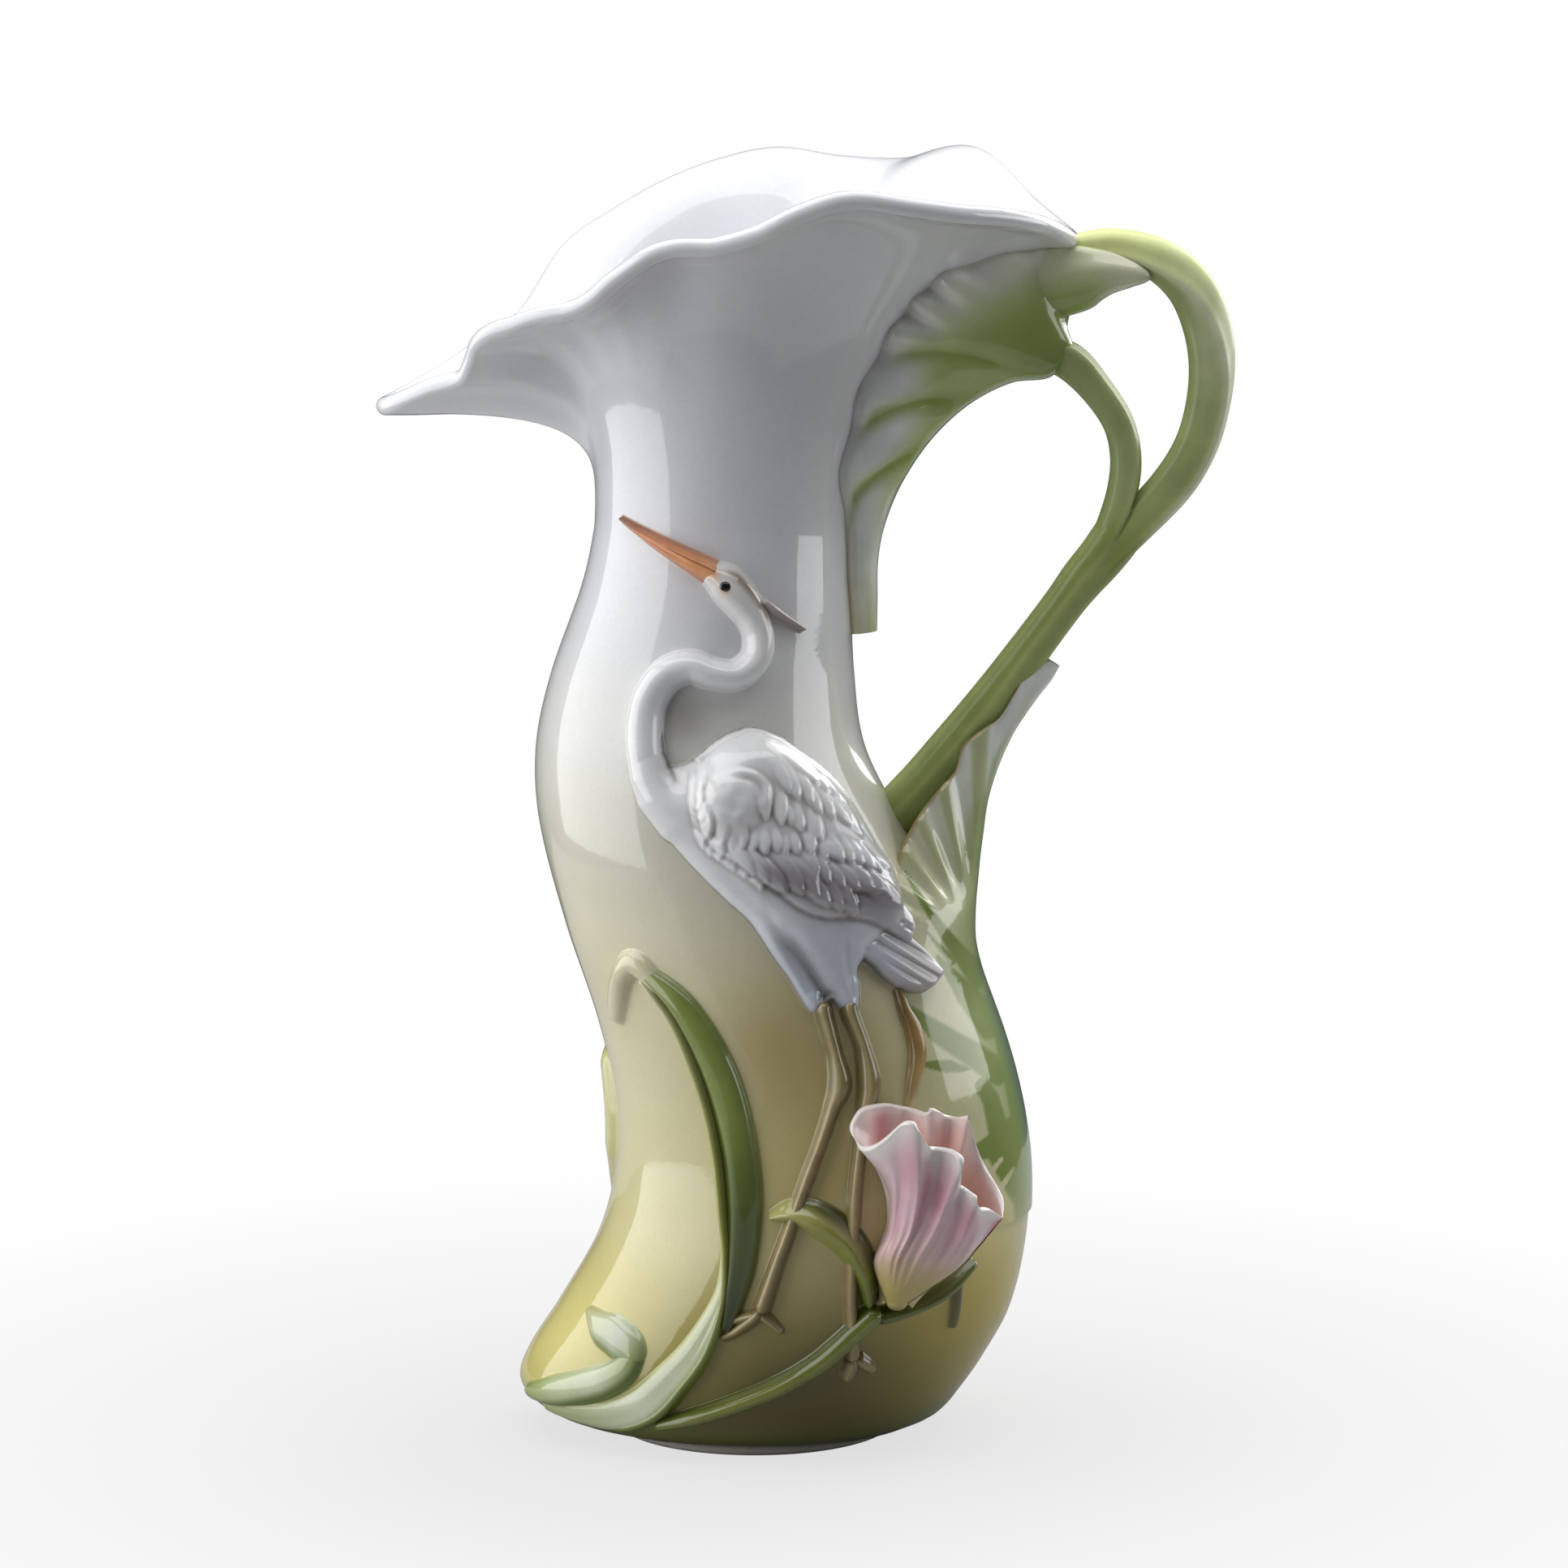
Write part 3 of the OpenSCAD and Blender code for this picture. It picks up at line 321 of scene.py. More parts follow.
def ground_paint(points):
    """The vessel's airbrushed colour at points on its surface, with painted shade in the neck loop and low
    in front.
    """
    x, y, z = np.moveaxis(points, -1, 0)
    colour = painted(GROUND_STOPS, z)
    front = smooth(30, -20, y)
    dusk = bell(x, 20, 30) * smooth(150, 95, z) * front
    colour = blend(colour, (168, 147, 74), 0.48 * dusk)
    middle = bell(x, 6, 17) * bell(z, 116, 18) * front
    colour = blend(colour, (150, 128, 66), 0.38 * middle)
    corner = smooth(20, 50, x) * bell(z, 38, 22) * front
    colour = blend(colour, (200, 178, 62), 0.62 * corner)
    # Dark olive low in front: airbrushed glaze, darkened further with painted shade where the surface faces
    # down
    deep = bell(x, 15, 37) * smooth(62, 18, z) * front
    colour = blend(colour, (86, 76, 10), 0.8 * deep)
    toe = bell(x, -58, 20) * bell(z, 32, 26)
    colour = blend(colour, (240, 230, 150), 0.75 * toe)
    rim = smooth(14, 3, z)
    colour = blend(colour, (104, 116, 54), 0.7 * rim)
    # Painted shade on the body inside the loop of the heron's neck
    loop = bell(x, -19, 7) * bell(z, 204, 7) * front
    colour = blend(colour, (150, 146, 138), 0.6 * loop)
    pale = smooth(30, 44, x) * smooth(66, 88, z) * smooth(176, 158, z) * front
    colour = blend(colour, (216, 214, 170), 0.75 * pale)
    green = leaf_paint(x, z) * smooth(34, 44, x) * smooth(60, 10, y)
    colour = blend(colour, (128, 146, 66), 0.85 * green)
    cool = smooth(66, 78, x) * bell(z, 92, 34)
    return blend(colour, (104, 134, 116), 0.6 * cool)


# Making pieces from grids of points

def grid_quads(rows, columns, wrap, flip, first):
    index = np.arange(rows * columns).reshape(rows, columns) + first
    if wrap:
        index = np.hstack([index, index[:, :1]])
    corners = [index[:-1, :-1], index[:-1, 1:], index[1:, 1:], index[1:, :-1]]
    if flip:
        corners = corners[::-1]
    return np.stack(corners, -1).reshape(-1, 4)


class Piece:
    """One named mesh made of grids, with a painted tint at every vertex."""

    def __init__(self, name, slot, node, glaze_name=None):
        self.name = name
        self.slot = slot
        self.node = node
        self.material = GLAZES[glaze_name or slot]
        self.points = []
        self.quads = []
        self.tints = []
        self.count = 0

    def grid(self, points, tint, wrap=False, flip=False):
        rows, columns = points.shape[:2]
        self.quads.append(grid_quads(rows, columns, wrap, flip, self.count))
        self.points.append(points.reshape(-1, 3))
        self.tints.append(np.broadcast_to(tint, points.shape).reshape(-1, 3))
        self.count += rows * columns

    def build(self):
        points = np.concatenate(self.points) * MM
        quads = np.concatenate(self.quads)
        mesh = bpy.data.meshes.new(self.name)
        mesh.vertices.add(len(points))
        mesh.vertices.foreach_set("co", points.astype(np.float32).ravel())
        mesh.loops.add(quads.size)
        mesh.loops.foreach_set("vertex_index", quads.astype(np.int32).ravel())
        mesh.polygons.add(len(quads))
        mesh.polygons.foreach_set("loop_start", np.arange(len(quads), dtype=np.int32) * 4)
        mesh.polygons.foreach_set("use_smooth", np.ones(len(quads), bool))
        mesh.update(calc_edges=True)
        light = to_light(np.concatenate(self.tints))
        tint = np.column_stack([light, np.ones(len(light))])
        layer = mesh.color_attributes.new("tint", "FLOAT_COLOR", "POINT")
        layer.data.foreach_set("color", tint.astype(np.float32).ravel())
        mesh.materials.append(self.material)
        piece = bpy.data.objects.new(self.name, mesh)
        bpy.context.scene.collection.objects.link(piece)
        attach(piece, "root")
        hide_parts(self.node)
        return piece


def one_grid(name, slot, node, points, tint, wrap=False, flip=False):
    piece = Piece(name, slot, node)
    piece.grid(points, tint, wrap, flip)
    piece.build()


# Glazes: each takes the painted tint and adds its own cloudiness, gloss and fine unevenness

COAT_IOR = 1.62
GRAIN = 0.02
# How fine the noises are
GRAIN_SCALE = 900.0
DULL_SCALE = 70.0
WAVE_SCALE = 26.0
DIMPLE_SCALE = 420.0
# Strength and height in metres of the slow waves and the dimples
WAVE = (0.10, 0.004)
DIMPLE = (0.03, 0.0006)


def link(tree, source, socket):
    tree.links.new(source, socket)


def noise_node(tree, place, scale, detail):
    noise = tree.nodes.new("ShaderNodeTexNoise")
    noise.inputs["Scale"].default_value = scale
    noise.inputs["Detail"].default_value = detail
    noise.inputs["Roughness"].default_value = 0.55
    link(tree, place, noise.inputs["Vector"])
    return noise.outputs["Fac"]


def range_node(tree, value, low, high, start=0.3, stop=0.7):
    span = tree.nodes.new("ShaderNodeMapRange")
    span.inputs["From Min"].default_value = start
    span.inputs["From Max"].default_value = stop
    span.inputs["To Min"].default_value = low
    span.inputs["To Max"].default_value = high
    link(tree, value, span.inputs["Value"])
    return span.outputs["Result"]


def product_node(tree, first, second):
    product = tree.nodes.new("ShaderNodeMath")
    product.operation = "MULTIPLY"
    link(tree, first, product.inputs[0])
    link(tree, second, product.inputs[1])
    return product.outputs[0]


def bump_node(tree, height, strength, distance):
    bump = tree.nodes.new("ShaderNodeBump")
    bump.inputs["Strength"].default_value = strength
    bump.inputs["Distance"].default_value = distance
    link(tree, height, bump.inputs["Height"])
    return bump


def mix_node(tree, share, first, second):
    both = tree.nodes.new("ShaderNodeMixShader")
    link(tree, share, both.inputs["Fac"])
    link(tree, first, both.inputs[1])
    link(tree, second, both.inputs[2])
    return both.outputs["Shader"]


def new_material(name):
    """A material, its node tree, and the places on the object that its noises use."""
    material = bpy.data.materials.new(name)
    material.use_nodes = True
    tree = material.node_tree
    return material, tree, tree.nodes.new("ShaderNodeTexCoord").outputs["Object"]


def glaze_colour(tree, place, cloud, cloud_scale):
    """The painted tint under cloudy thick and thin glaze, with its own fine grain."""
    tint = tree.nodes.new("ShaderNodeAttribute")
    tint.attribute_name = "tint"
    clouds = range_node(tree, noise_node(tree, place, cloud_scale, 4.0), 1 - cloud, 1 + cloud)
    grains = range_node(tree, noise_node(tree, place, GRAIN_SCALE, 2.0), 1 - GRAIN, 1 + GRAIN)
    shade = tree.nodes.new("ShaderNodeVectorMath")
    shade.operation = "SCALE"
    link(tree, tint.outputs["Color"], shade.inputs[0])
    link(tree, product_node(tree, clouds, grains), shade.inputs["Scale"])
    return shade.outputs["Vector"]


def glaze_normal(tree, place):
    """Slow waves and faint dimples left by the glaze as it flowed."""
    slow = bump_node(tree, noise_node(tree, place, WAVE_SCALE, 1.0), *WAVE)
    fine = bump_node(tree, noise_node(tree, place, DIMPLE_SCALE, 2.0), *DIMPLE)
    link(tree, slow.outputs["Normal"], fine.inputs["Normal"])
    return fine.outputs["Normal"]


def glaze(name, gloss=0.05, base_rough=0.32, cloud=0.05, cloud_scale=38.0, coat=1.0, specular=0.3):
    material, tree, place = new_material(name)
    shader = tree.nodes["Principled BSDF"]
    link(tree, glaze_colour(tree, place, cloud, cloud_scale), shader.inputs["Base Color"])
    # Gloss of the fired coat, a little duller in places
    dull = range_node(tree, noise_node(tree, place, DULL_SCALE, 3.0), gloss * 0.6, gloss * 1.7)
    link(tree, dull, shader.inputs["Coat Roughness"])
    shader.inputs["Coat Weight"].default_value = coat
    shader.inputs["Coat IOR"].default_value = COAT_IOR
    shader.inputs["Roughness"].default_value = base_rough
    shader.inputs["Specular IOR Level"].default_value = specular
    normal = glaze_normal(tree, place)
    link(tree, normal, shader.inputs["Normal"])
    link(tree, normal, shader.inputs["Coat Normal"])
    return material


GLAZE_LOOKS = {
    "body_glaze": dict(gloss=0.045, cloud=0.035),
    "white_glaze": dict(gloss=0.045, cloud=0.02),
    "vine_glaze": dict(gloss=0.18, base_rough=0.45, cloud=0.10, cloud_scale=90.0, coat=0.55, specular=0.0),
    "leaf_glaze": dict(gloss=0.05, cloud=0.07, cloud_scale=80.0),
    "plumage_glaze": dict(gloss=0.07, base_rough=0.36, cloud=0.03, cloud_scale=120.0),
    "bill_glaze": dict(gloss=0.14, cloud=0.12, cloud_scale=240.0, coat=0.6),
    "leg_glaze": dict(gloss=0.10, cloud=0.14, cloud_scale=180.0, coat=0.8),
    "reed_glaze": dict(gloss=0.05, cloud=0.10, cloud_scale=90.0),
    "petal_glaze": dict(gloss=0.10, cloud=0.05, cloud_scale=160.0, coat=0.9),
    "stalk_glaze": dict(gloss=0.06, cloud=0.12, cloud_scale=140.0),
    "eye_glaze": dict(gloss=0.03, cloud=0.10, cloud_scale=400.0),
}
GLAZES = {name: glaze(name, **look) for name, look in GLAZE_LOOKS.items()}


# The vessel

INSIDE_WHITE = (244, 245, 244)


def build_body():
    angle = np.linspace(0, FULL_TURN, 300, endpoint=False)[None]
    rise = np.concatenate([np.linspace(FOOT_H, HEEL_Z, 14)[:-1], np.linspace(HEEL_Z, BODY_H, 150)])
    outside = body_point(angle, rise[:, None])
    fall = np.linspace(BODY_H, FLOOR_Z, 44)
    inside = body_point(angle, fall[:, None], WALL)
    foot = body_point(angle, np.full((1, 1), FOOT_H), FOOT_INSET)
    floor = body_point(angle, np.full((1, 1), FLOOR_Z), FLOOR_INSET)
    piece = Piece("ewer_body", "body_glaze", "body")
    shell = np.concatenate([foot, outside])
    piece.grid(shell, ground_paint(shell), wrap=True)
    piece.grid(np.concatenate([inside, floor]), INSIDE_WHITE, wrap=True)
    piece.build()


def build_mouth():
    angle = np.linspace(0, FULL_TURN, 420, endpoint=False)[None]
    t = (1 - (1 - np.linspace(0, 1, 64)) ** 1.4)[:, None]
    out_normal = vessel_normal(angle, 1 + np.minimum(t, 0.995))
    swell = (BEAD_R - LIP_T / 2) * smooth(0.90, 0.995, t)
    outside = mouth_point(angle, t) + out_normal * swell[..., None]
    inside = mouth_point(angle, t) - out_normal * (LIP_T + swell)[..., None]
    inside[0] = body_point(angle, np.full((1, 1), BODY_H), LIP_T)[0]
    # The round bead that joins the two sides along the lip
    end_normal = out_normal[-1]
    away = np.stack([np.cos(angle[0]), np.sin(angle[0]), 0 * angle[0]], -1)
    away = unit(away - end_normal * np.sum(away * end_normal, -1, keepdims=True))
    middle = mouth_point(angle, np.ones((1, 1)))[0] - end_normal * LIP_T / 2
    turns = np.linspace(0, math.pi, 13)[1:-1]
    bead = [middle + BEAD_R * (end_normal * math.cos(a) + away * math.sin(a)) for a in turns]
    points = np.concatenate([outside, np.array(bead), inside[::-1]])
    tint = ground_paint(points)
    level = np.concatenate([t, np.ones((len(bead), 1)), np.ones_like(t)])
    tint = blend(tint, (249, 250, 253), 0.4 * smooth(0.1, 0.8, level) + 0 * angle)
    one_grid("ewer_mouth", "white_glaze", "mouth", points, tint, wrap=True)


# The handle: vines swept along centre lines in the handle's plane

TO_BACK = np.array([0.0, 1.0, 0.0])
# Sections are a little fuller than circles
VINE_POWER = 0.86


def swept(path, half_w, half_d, section, columns):
    """Rings round a path in the handle's plane; angle 0 is the side away from the loop."""
    along = unit(np.gradient(path, axis=0))
    aside = -unit(np.cross(TO_BACK, along))
    turn = np.linspace(0, FULL_TURN, columns, endpoint=False)
    place = np.linspace(0, 1, len(path))[:, None]
    swell = section(turn[None], place)
    reach = half_w[:, None] * eased(np.cos(turn), VINE_POWER) * swell
    depth = half_d[:, None] * eased(np.sin(turn), VINE_POWER) * swell
    points = path[:, None] + aside[:, None] * reach[..., None]
    points = points + TO_BACK * depth[..., None]
    return points, turn[None] + 0 * place, place + 0 * turn[None]


def wrapped(angle, centre):
    return np.angle(np.exp(1j * (angle - centre)))


def both_sides(turn, centre, width):
    return bell(wrapped(turn, centre), 0, width) + bell(wrapped(turn, -centre), 0, width)


def vine_section(ridge, hollow):
    """Section with a ridge towards the front and the back; the ridge may turn along the vine."""
    def section(turn, place):
        raised = 0.17 * both_sides(turn, ridge, 0.24)
        return 1 + raised - 0.08 * both_sides(turn, hollow, 0.45) + 0 * place
    return section


def vine_paint(turn, outer, front, inner, ridge, ridge_highlight):
    side = np.cos(turn)
    colour = blend(np.array(front, float), outer, smooth(np.cos(ridge) - 0.25, np.cos(ridge) + 0.2, side))
    colour = blend(colour, inner, smooth(-0.35, -0.95, side))
    # Painted highlight: a pale line along the ridge
    return blend(colour, ridge_highlight, 0.7 * np.clip(both_sides(turn, ridge, 0.15), 0, 1))


# Vines from their upper end: reach and rise in the loop, then shares of width and depth
OUTER_BRANCH = [
    [0.690, 0.975, 0.62, 0.70], [0.745, 0.985, 0.72, 0.80], [0.804, 0.985, 0.82, 0.88],
    [0.887, 0.961, 0.98, 0.95], [0.949, 0.914, 1.08, 1.00], [0.984, 0.847, 1.10, 1.00],
    [0.996, 0.773, 1.05, 1.00], [0.988, 0.698, 1.00, 1.00], [0.964, 0.625, 0.98, 1.00],
    [0.917, 0.556, 0.98, 1.00], [0.836, 0.478, 0.90, 0.98], [0.770, 0.412, 0.72, 0.84],
]
INNER_BRANCH = [
    [0.640, 0.800, 1.00, 0.80], [0.706, 0.779, 1.15, 0.95], [0.762, 0.728, 1.00, 0.92],
    [0.806, 0.669, 0.95, 0.90], [0.822, 0.609, 0.95, 0.90], [0.817, 0.550, 0.94, 0.92],
    [0.796, 0.492, 0.86, 0.92], [0.760, 0.430, 0.66, 0.80], [0.730, 0.385, 0.46, 0.60],
]
STEM = [
    [0.842, 0.512, 1.00, 0.80], [0.811, 0.470, 1.16, 0.96], [0.775, 0.426, 1.12, 1.00],
    [0.734, 0.383, 1.05, 1.00], [0.696, 0.338, 0.97, 1.00], [0.620, 0.246, 1.00, 1.00],
    [0.546, 0.154, 1.14, 1.00], [0.470, 0.071, 1.18, 1.02], [0.408, 0.006, 1.20, 1.05],
    [0.342, -0.055, 1.20, 1.08], [0.255, -0.124, 1.00, 1.00],
]
# What reach and rise weigh as lengths when the rows are spaced out
HANDLE_SCALE = np.array([HANDLE_SPAN, HANDLE_RISE])
STEM_FRONT = (156, 171, 98)
STEM_CREASE = math.radians(282)
STEM_KEEL = math.radians(268)


def vine(rows, width, count, columns, section):
    places, _ = drawn_out(rows, count, HANDLE_SCALE)
    path = handle_point(places[:, 0], places[:, 1])
    half_w = places[:, 2] * width / 2
    half_d = places[:, 3] * VINE_D / 2
    return swept(path, half_w, half_d, section, columns)


def build_outer_branch():
    along = np.linspace(0, 1, 150)[:, None]
    ridge = np.radians(mix(250, 306, smooth(0.16, 0.60, along)))
    section = vine_section(ridge, math.radians(252))
    points, turn, place = vine(OUTER_BRANCH, OUTER_W, len(along), 64, section)
    tint = vine_paint(turn, (240, 250, 184), (166, 178, 118), (162, 175, 116), ridge, (244, 246, 222))
    side = np.cos(turn)
    crest = np.cos(ridge)
    fresh = smooth(0.42, 0.05, place) * smooth(crest - 0.3, crest + 0.2, side)
    tint = blend(tint, (244, 254, 166), 0.6 * fresh)
    tint = blend(tint, (210, 216, 186), 0.55 * bell(place, 0.42, 0.16) * smooth(-0.9, -0.3, side))
    outside = smooth(crest - 0.1, crest + 0.15, side)
    tint = blend(tint, (242, 243, 216), 0.85 * outside * smooth(0.34, 0.55, place))
    tint = blend(tint, STEM_FRONT, smooth(0.80, 0.97, place))
    one_grid("handle_outer_branch_vine", "vine_glaze", "handle_outer_branch", points, tint, wrap=True)


def build_inner_branch():
    ridge = math.radians(302)
    section = vine_section(ridge, math.radians(250))
    points, turn, place = vine(INNER_BRANCH, INNER_W, 110, 56, section)
    tint = vine_paint(turn, (160, 176, 104), (168, 181, 122), (150, 166, 106), ridge, (212, 218, 168))
    tint = blend(tint, STEM_FRONT, smooth(0.66, 0.90, place))
    one_grid("handle_inner_branch_vine", "vine_glaze", "handle_inner_branch", points, tint, wrap=True)


def stem_section(turn, place):
    cleft = both_sides(turn, STEM_CREASE, 0.30) * smooth(0.26, 0.02, place)
    line = both_sides(turn, STEM_KEEL, 0.12) * smooth(0.10, 0.25, place)
    return 1 - 0.24 * cleft + 0.05 * line


def build_stem():
    points, turn, place = vine(STEM, STEM_W, 140, 64, stem_section)
    tint = vine_paint(turn, (164, 178, 110), STEM_FRONT, (160, 173, 108), STEM_KEEL, (194, 204, 136))
    # Painted light: the lower stem is painted lighter where it lies in shadow near the body
    tint = blend(tint, (190, 202, 124), 0.6 * smooth(0.45, 0.9, place))
    one_grid("handle_stem_vine", "vine_glaze", "handle_stem", points, tint, wrap=True)


# Standing leaves that carry the handle

# The upper leaf from below: level on the vessel, spread in degrees, then reach and rise of its edge
UPPER_LEAF = [
    [0.862, 7, 0.316, 0.292], [0.900, 11, 0.317, 0.350], [0.939, 15, 0.318, 0.419],
    [0.988, 18, 0.332, 0.485], [1.100, 24, 0.368, 0.563], [1.210, 22, 0.430, 0.643],
    [1.360, 17, 0.504, 0.703], [1.500, 15, 0.588, 0.741], [1.650, 13, 0.668, 0.752],
    [1.780, 8, 0.712, 0.800], [1.880, 4.6, 0.702, 0.846], [1.960, 2.4, 0.722, 0.905],
]
# What each column weighs as a length when the rows are spaced out
UPPER_LEAF_SCALE = np.array([160.0, 0.3, 133.0, HANDLE_RISE])
UPPER_LEAF_STOPS = [
    [0, 226, 226, 188], [0.10, 246, 249, 240], [0.4, 250, 252, 252], [0.6, 250, 252, 244],
    [0.85, 250, 252, 236], [1, 244, 247, 218],
]
# Depth of the leaves' edges in the vessel, and how far the upper leaf stands clear of it
SEAT_SINK = 0.3
LEAF_STEP = 1.2


def leaf_between(rim, edge, step, columns):
    """Skin from a rim on the vessel, over the edge in the handle's plane, to the mirrored rim."""
    turn = np.linspace(0, math.pi, columns)[None]
    out = np.sin(turn)
    side = np.cos(turn)
    x = mix(rim[:, :1], edge[:, :1], out)
    z = mix(rim[:, 2:], edge[:, 2:], out)
    run = np.linalg.norm(edge - rim, axis=1)[:, None] * np.minimum(turn, math.pi - turn)
    half = np.abs(rim[:, 1:2]) + step * smooth(-0.6, 4.6, run)
    y = -half * eased(side, 0.7)
    return np.stack([x, y, z], -1), out + 0 * x, -np.sign(side) + 0 * x


def grid_normals(points):
    along = np.gradient(points, axis=0)
    across = np.gradient(points, axis=1)
    return unit(np.cross(across, along))


def upper_leaf_sheet(places, u, high, beat):
    """The leaf before its flutes: its points, and how far out from the vessel they lie."""
    level = places[:, 0]
    waves = np.sin(beat) * high + np.sin(u * 30 + 0.8) * (1 - high) * smooth(0.02, 0.14, u)
    plain = -np.radians(places[:, 1]) * (1 + 0.12 * (1 - high) * waves)[:, 0]
    wavy = plain * (1 + 0.07 * high * waves)[:, 0]
    rim = vessel_point(plain, level) - SEAT_SINK * vessel_normal(plain, level)
    edge = handle_point(places[:, 2], places[:, 3])
    points, out, front = leaf_between(rim, edge, LEAF_STEP, 101)
    shift = vessel_point(wavy, level) - vessel_point(plain, level)
    shift = np.stack([shift[:, :1] + 0 * out, -shift[:, 1:2] * front, shift[:, 2:] + 0 * out], -1)
    return points + shift * smooth(0.30, 0.0, out)[..., None], out


def upper_leaf_paint(u, out, flutes, grooves):
    tint = painted(UPPER_LEAF_STOPS, u + 0 * out)
    start = mix(0.50, 0.10, smooth(0.36, 0.62, u))
    green = smooth(start, start + 0.46, out + 0.06 * flutes) * smooth(0.10, 0.36, u)
    tint = blend(tint, (184, 202, 122), 0.94 * green)
    tint = blend(tint, (164, 186, 92), 0.8 * grooves * smooth(0.06, 0.30, out))
    tint = blend(tint, (132, 156, 76), 0.75 * green * bell(u, 0.80, 0.17) * smooth(0.25, 0.7, out))
    tint = blend(tint, (158, 188, 180), 0.5 * smooth(0.90, 1.0, out) * smooth(0.85, 0.50, u))
    # Brownish grey at the rim: glaze pooled there, with a painted shadow where the leaf stands off the
    # vessel
    tint = blend(tint, (190, 174, 158), 0.35 * smooth(0.06, 0.01, out))
    return blend(tint, (166, 146, 92), 0.6 * smooth(0.20, 0.02, out) * smooth(0.24, 0.08, u))


def build_upper_leaf():
    places, _ = drawn_out(UPPER_LEAF, 280, UPPER_LEAF_SCALE)
    u = np.linspace(0, 1, len(places))[:, None]
    high = smooth(0.40, 0.54, u)
    beat = 60 * u + 1.3 * np.sin(19 * u)
    points, out = upper_leaf_sheet(places, u, high, beat)
    # Short flutes along the upper rim, and three long grooves below them
    uneven = 1 + 0.3 * np.sin(u * 33 + 1.0)
    flutes = uneven * np.sin(beat - 1.5 * out) * high * smooth(0.96, 0.84, u) * smooth(0.42, 0.06, out)
    slant = u - 0.20 * out
    grooves = bell(slant, 0.15, 0.026) + bell(slant, 0.33, 0.030) + 0.8 * bell(slant, 0.50, 0.030)
    relief = 0.85 * flutes - 1.3 * grooves * smooth(1.0, 0.6, out) * smooth(0.04, 0.25, out)
    points = points + grid_normals(points) * (relief * smooth(0, 0.05, out))[..., None]
    tint = upper_leaf_paint(u, out, flutes, grooves)
    one_grid("upper_leaf_blade", "leaf_glaze", "upper_leaf", points, tint, flip=True)


# The curl from the leaf to its tip: reach and rise in the loop, width and depth
CURL = [
    [0.585, 0.895, 19.0, 12.0], [0.650, 0.918, 20.4, 16.0], [0.7243, 0.9325, 19.0, 17.6],
    [0.7618, 0.9395, 15.2, 17.4], [0.7918, 0.9420, 12.2, 16.6], [0.8292, 0.9405, 8.8, 15.0],
    [0.8517, 0.937, 6.0, 13.0], [0.865, 0.934, 3.6, 10.5], [0.872, 0.932, 1.0, 5.0],
]
CURL_RIDGE = math.radians(326)


def curl_section(turn, place):
    grooves = np.cos(9 * turn) * smooth(0.2, 0.45, place) * smooth(0.95, 0.7, place)
    return 1 + 0.05 * both_sides(turn, CURL_RIDGE, 0.2) + 0.012 * grooves


def build_curl():
    places, _ = drawn_out(CURL, 110, HANDLE_SCALE)
    path = handle_point(places[:, 0], places[:, 1])
    points, turn, place = swept(path, places[:, 2] / 2, places[:, 3] / 2, curl_section, 72)
    top = np.cos(turn)
    tint = blend(np.array([228.0, 233.0, 194.0]), (160, 181, 98), smooth(0.45, -0.65, top))
    tint = blend(tint, (238, 239, 212), 0.85 * smooth(0.45, 0.85, place))
    tint = blend(tint, (232, 240, 170), 0.7 * smooth(0.70, 0.95, top))
    one_grid("upper_leaf_curl_tip", "leaf_glaze", "upper_leaf_curl", points, tint, wrap=True)


# The lower leaf from its tip beside the stem down to the body:
# front edge across and up, right edge across and up, depth, and how closely it hugs the body
LOWER_LEAF = [
    [80.4, 214.0, 83.4, 212.2, 1.8, 0.0], [76.8, 212.2, 81.2, 208.4, 4.0, 0.0],
    [73.0, 209.0, 78.2, 204.6, 5.6, 0.0], [70.8, 205.4, 75.0, 200.2, 6.4, 0.0],
    [67.0, 199.2, 71.6, 195.0, 7.0, 0.0], [63.0, 196.4, 69.2, 190.2, 7.6, 0.0],
    [57.0, 191.6, 67.0, 185.0, 8.6, 0.0], [54.6, 184.7, 65.0, 179.0, 10.0, 0.0],
    [50.5, 180.4, 63.8, 174.0, 12.0, 0.0], [45.0, 173.9, 63.0, 168.0, 15.0, 0.0],
    [40.6, 166.4, 62.6, 161.0, 19.0, 0.03], [37.6, 159.0, 62.4, 152.0, 23.0, 0.10],
    [36.0, 149.0, 62.6, 143.0, 26.0, 0.28], [36.0, 138.0, 63.2, 133.5, 30.0, 0.60],
    [36.5, 124.0, 64.8, 122.5, 32.0, 0.92], [38.0, 110.0, 68.8, 110.0, 31.0, 1.0],
    [42.0, 94.0, 73.4, 94.0, 28.0, 1.0], [50.0, 78.0, 76.0, 78.0, 22.0, 1.0],
    [60.0, 62.0, 76.0, 62.0, 14.0, 1.0],
]
LOWER_LEAF_SCALE = np.array([1.0, 1.0])
LOWER_LEAF_STOPS = [
    [0, 246, 253, 248], [0.2, 240, 247, 236], [0.4, 224, 228, 194], [0.55, 216, 218, 176],
    [1, 200, 204, 150],
]
# Where the leaf leaves the body, across and up
PLEAT_PIVOT = (60.5, 140.0)


def lower_leaf_sheet(places, columns):
    """The leaf before its pleats, which stands at its tip and lies on the body further down."""
    front_x, front_z, edge_x, edge_z, depth, hug = places.T
    rim_angle = seat_angle(front_x, front_z, FRONT)
    seat = body_point(rim_angle, front_z)
    depth = mix(depth, -seat[:, 1] - SEAT_SINK, smooth(0.02, 0.2, hug))
    rim = np.stack([front_x, -depth, front_z], -1)
    edge = np.stack([edge_x, 0 * edge_x, edge_z], -1)
    standing, out, _ = leaf_between(rim, edge, 0.0, columns)
    angle = rim_angle[:, None] * np.linspace(1, -1, columns)
    z = mix(front_z[:, None], edge_z[:, None], np.sin(np.linspace(0, math.pi, columns)))
    lying = over_body(angle, z, smooth(0, 0.6, out) - 0.15)
    return mix(standing, lying, np.clip(hug, 0, 1)[:, None, None]), out


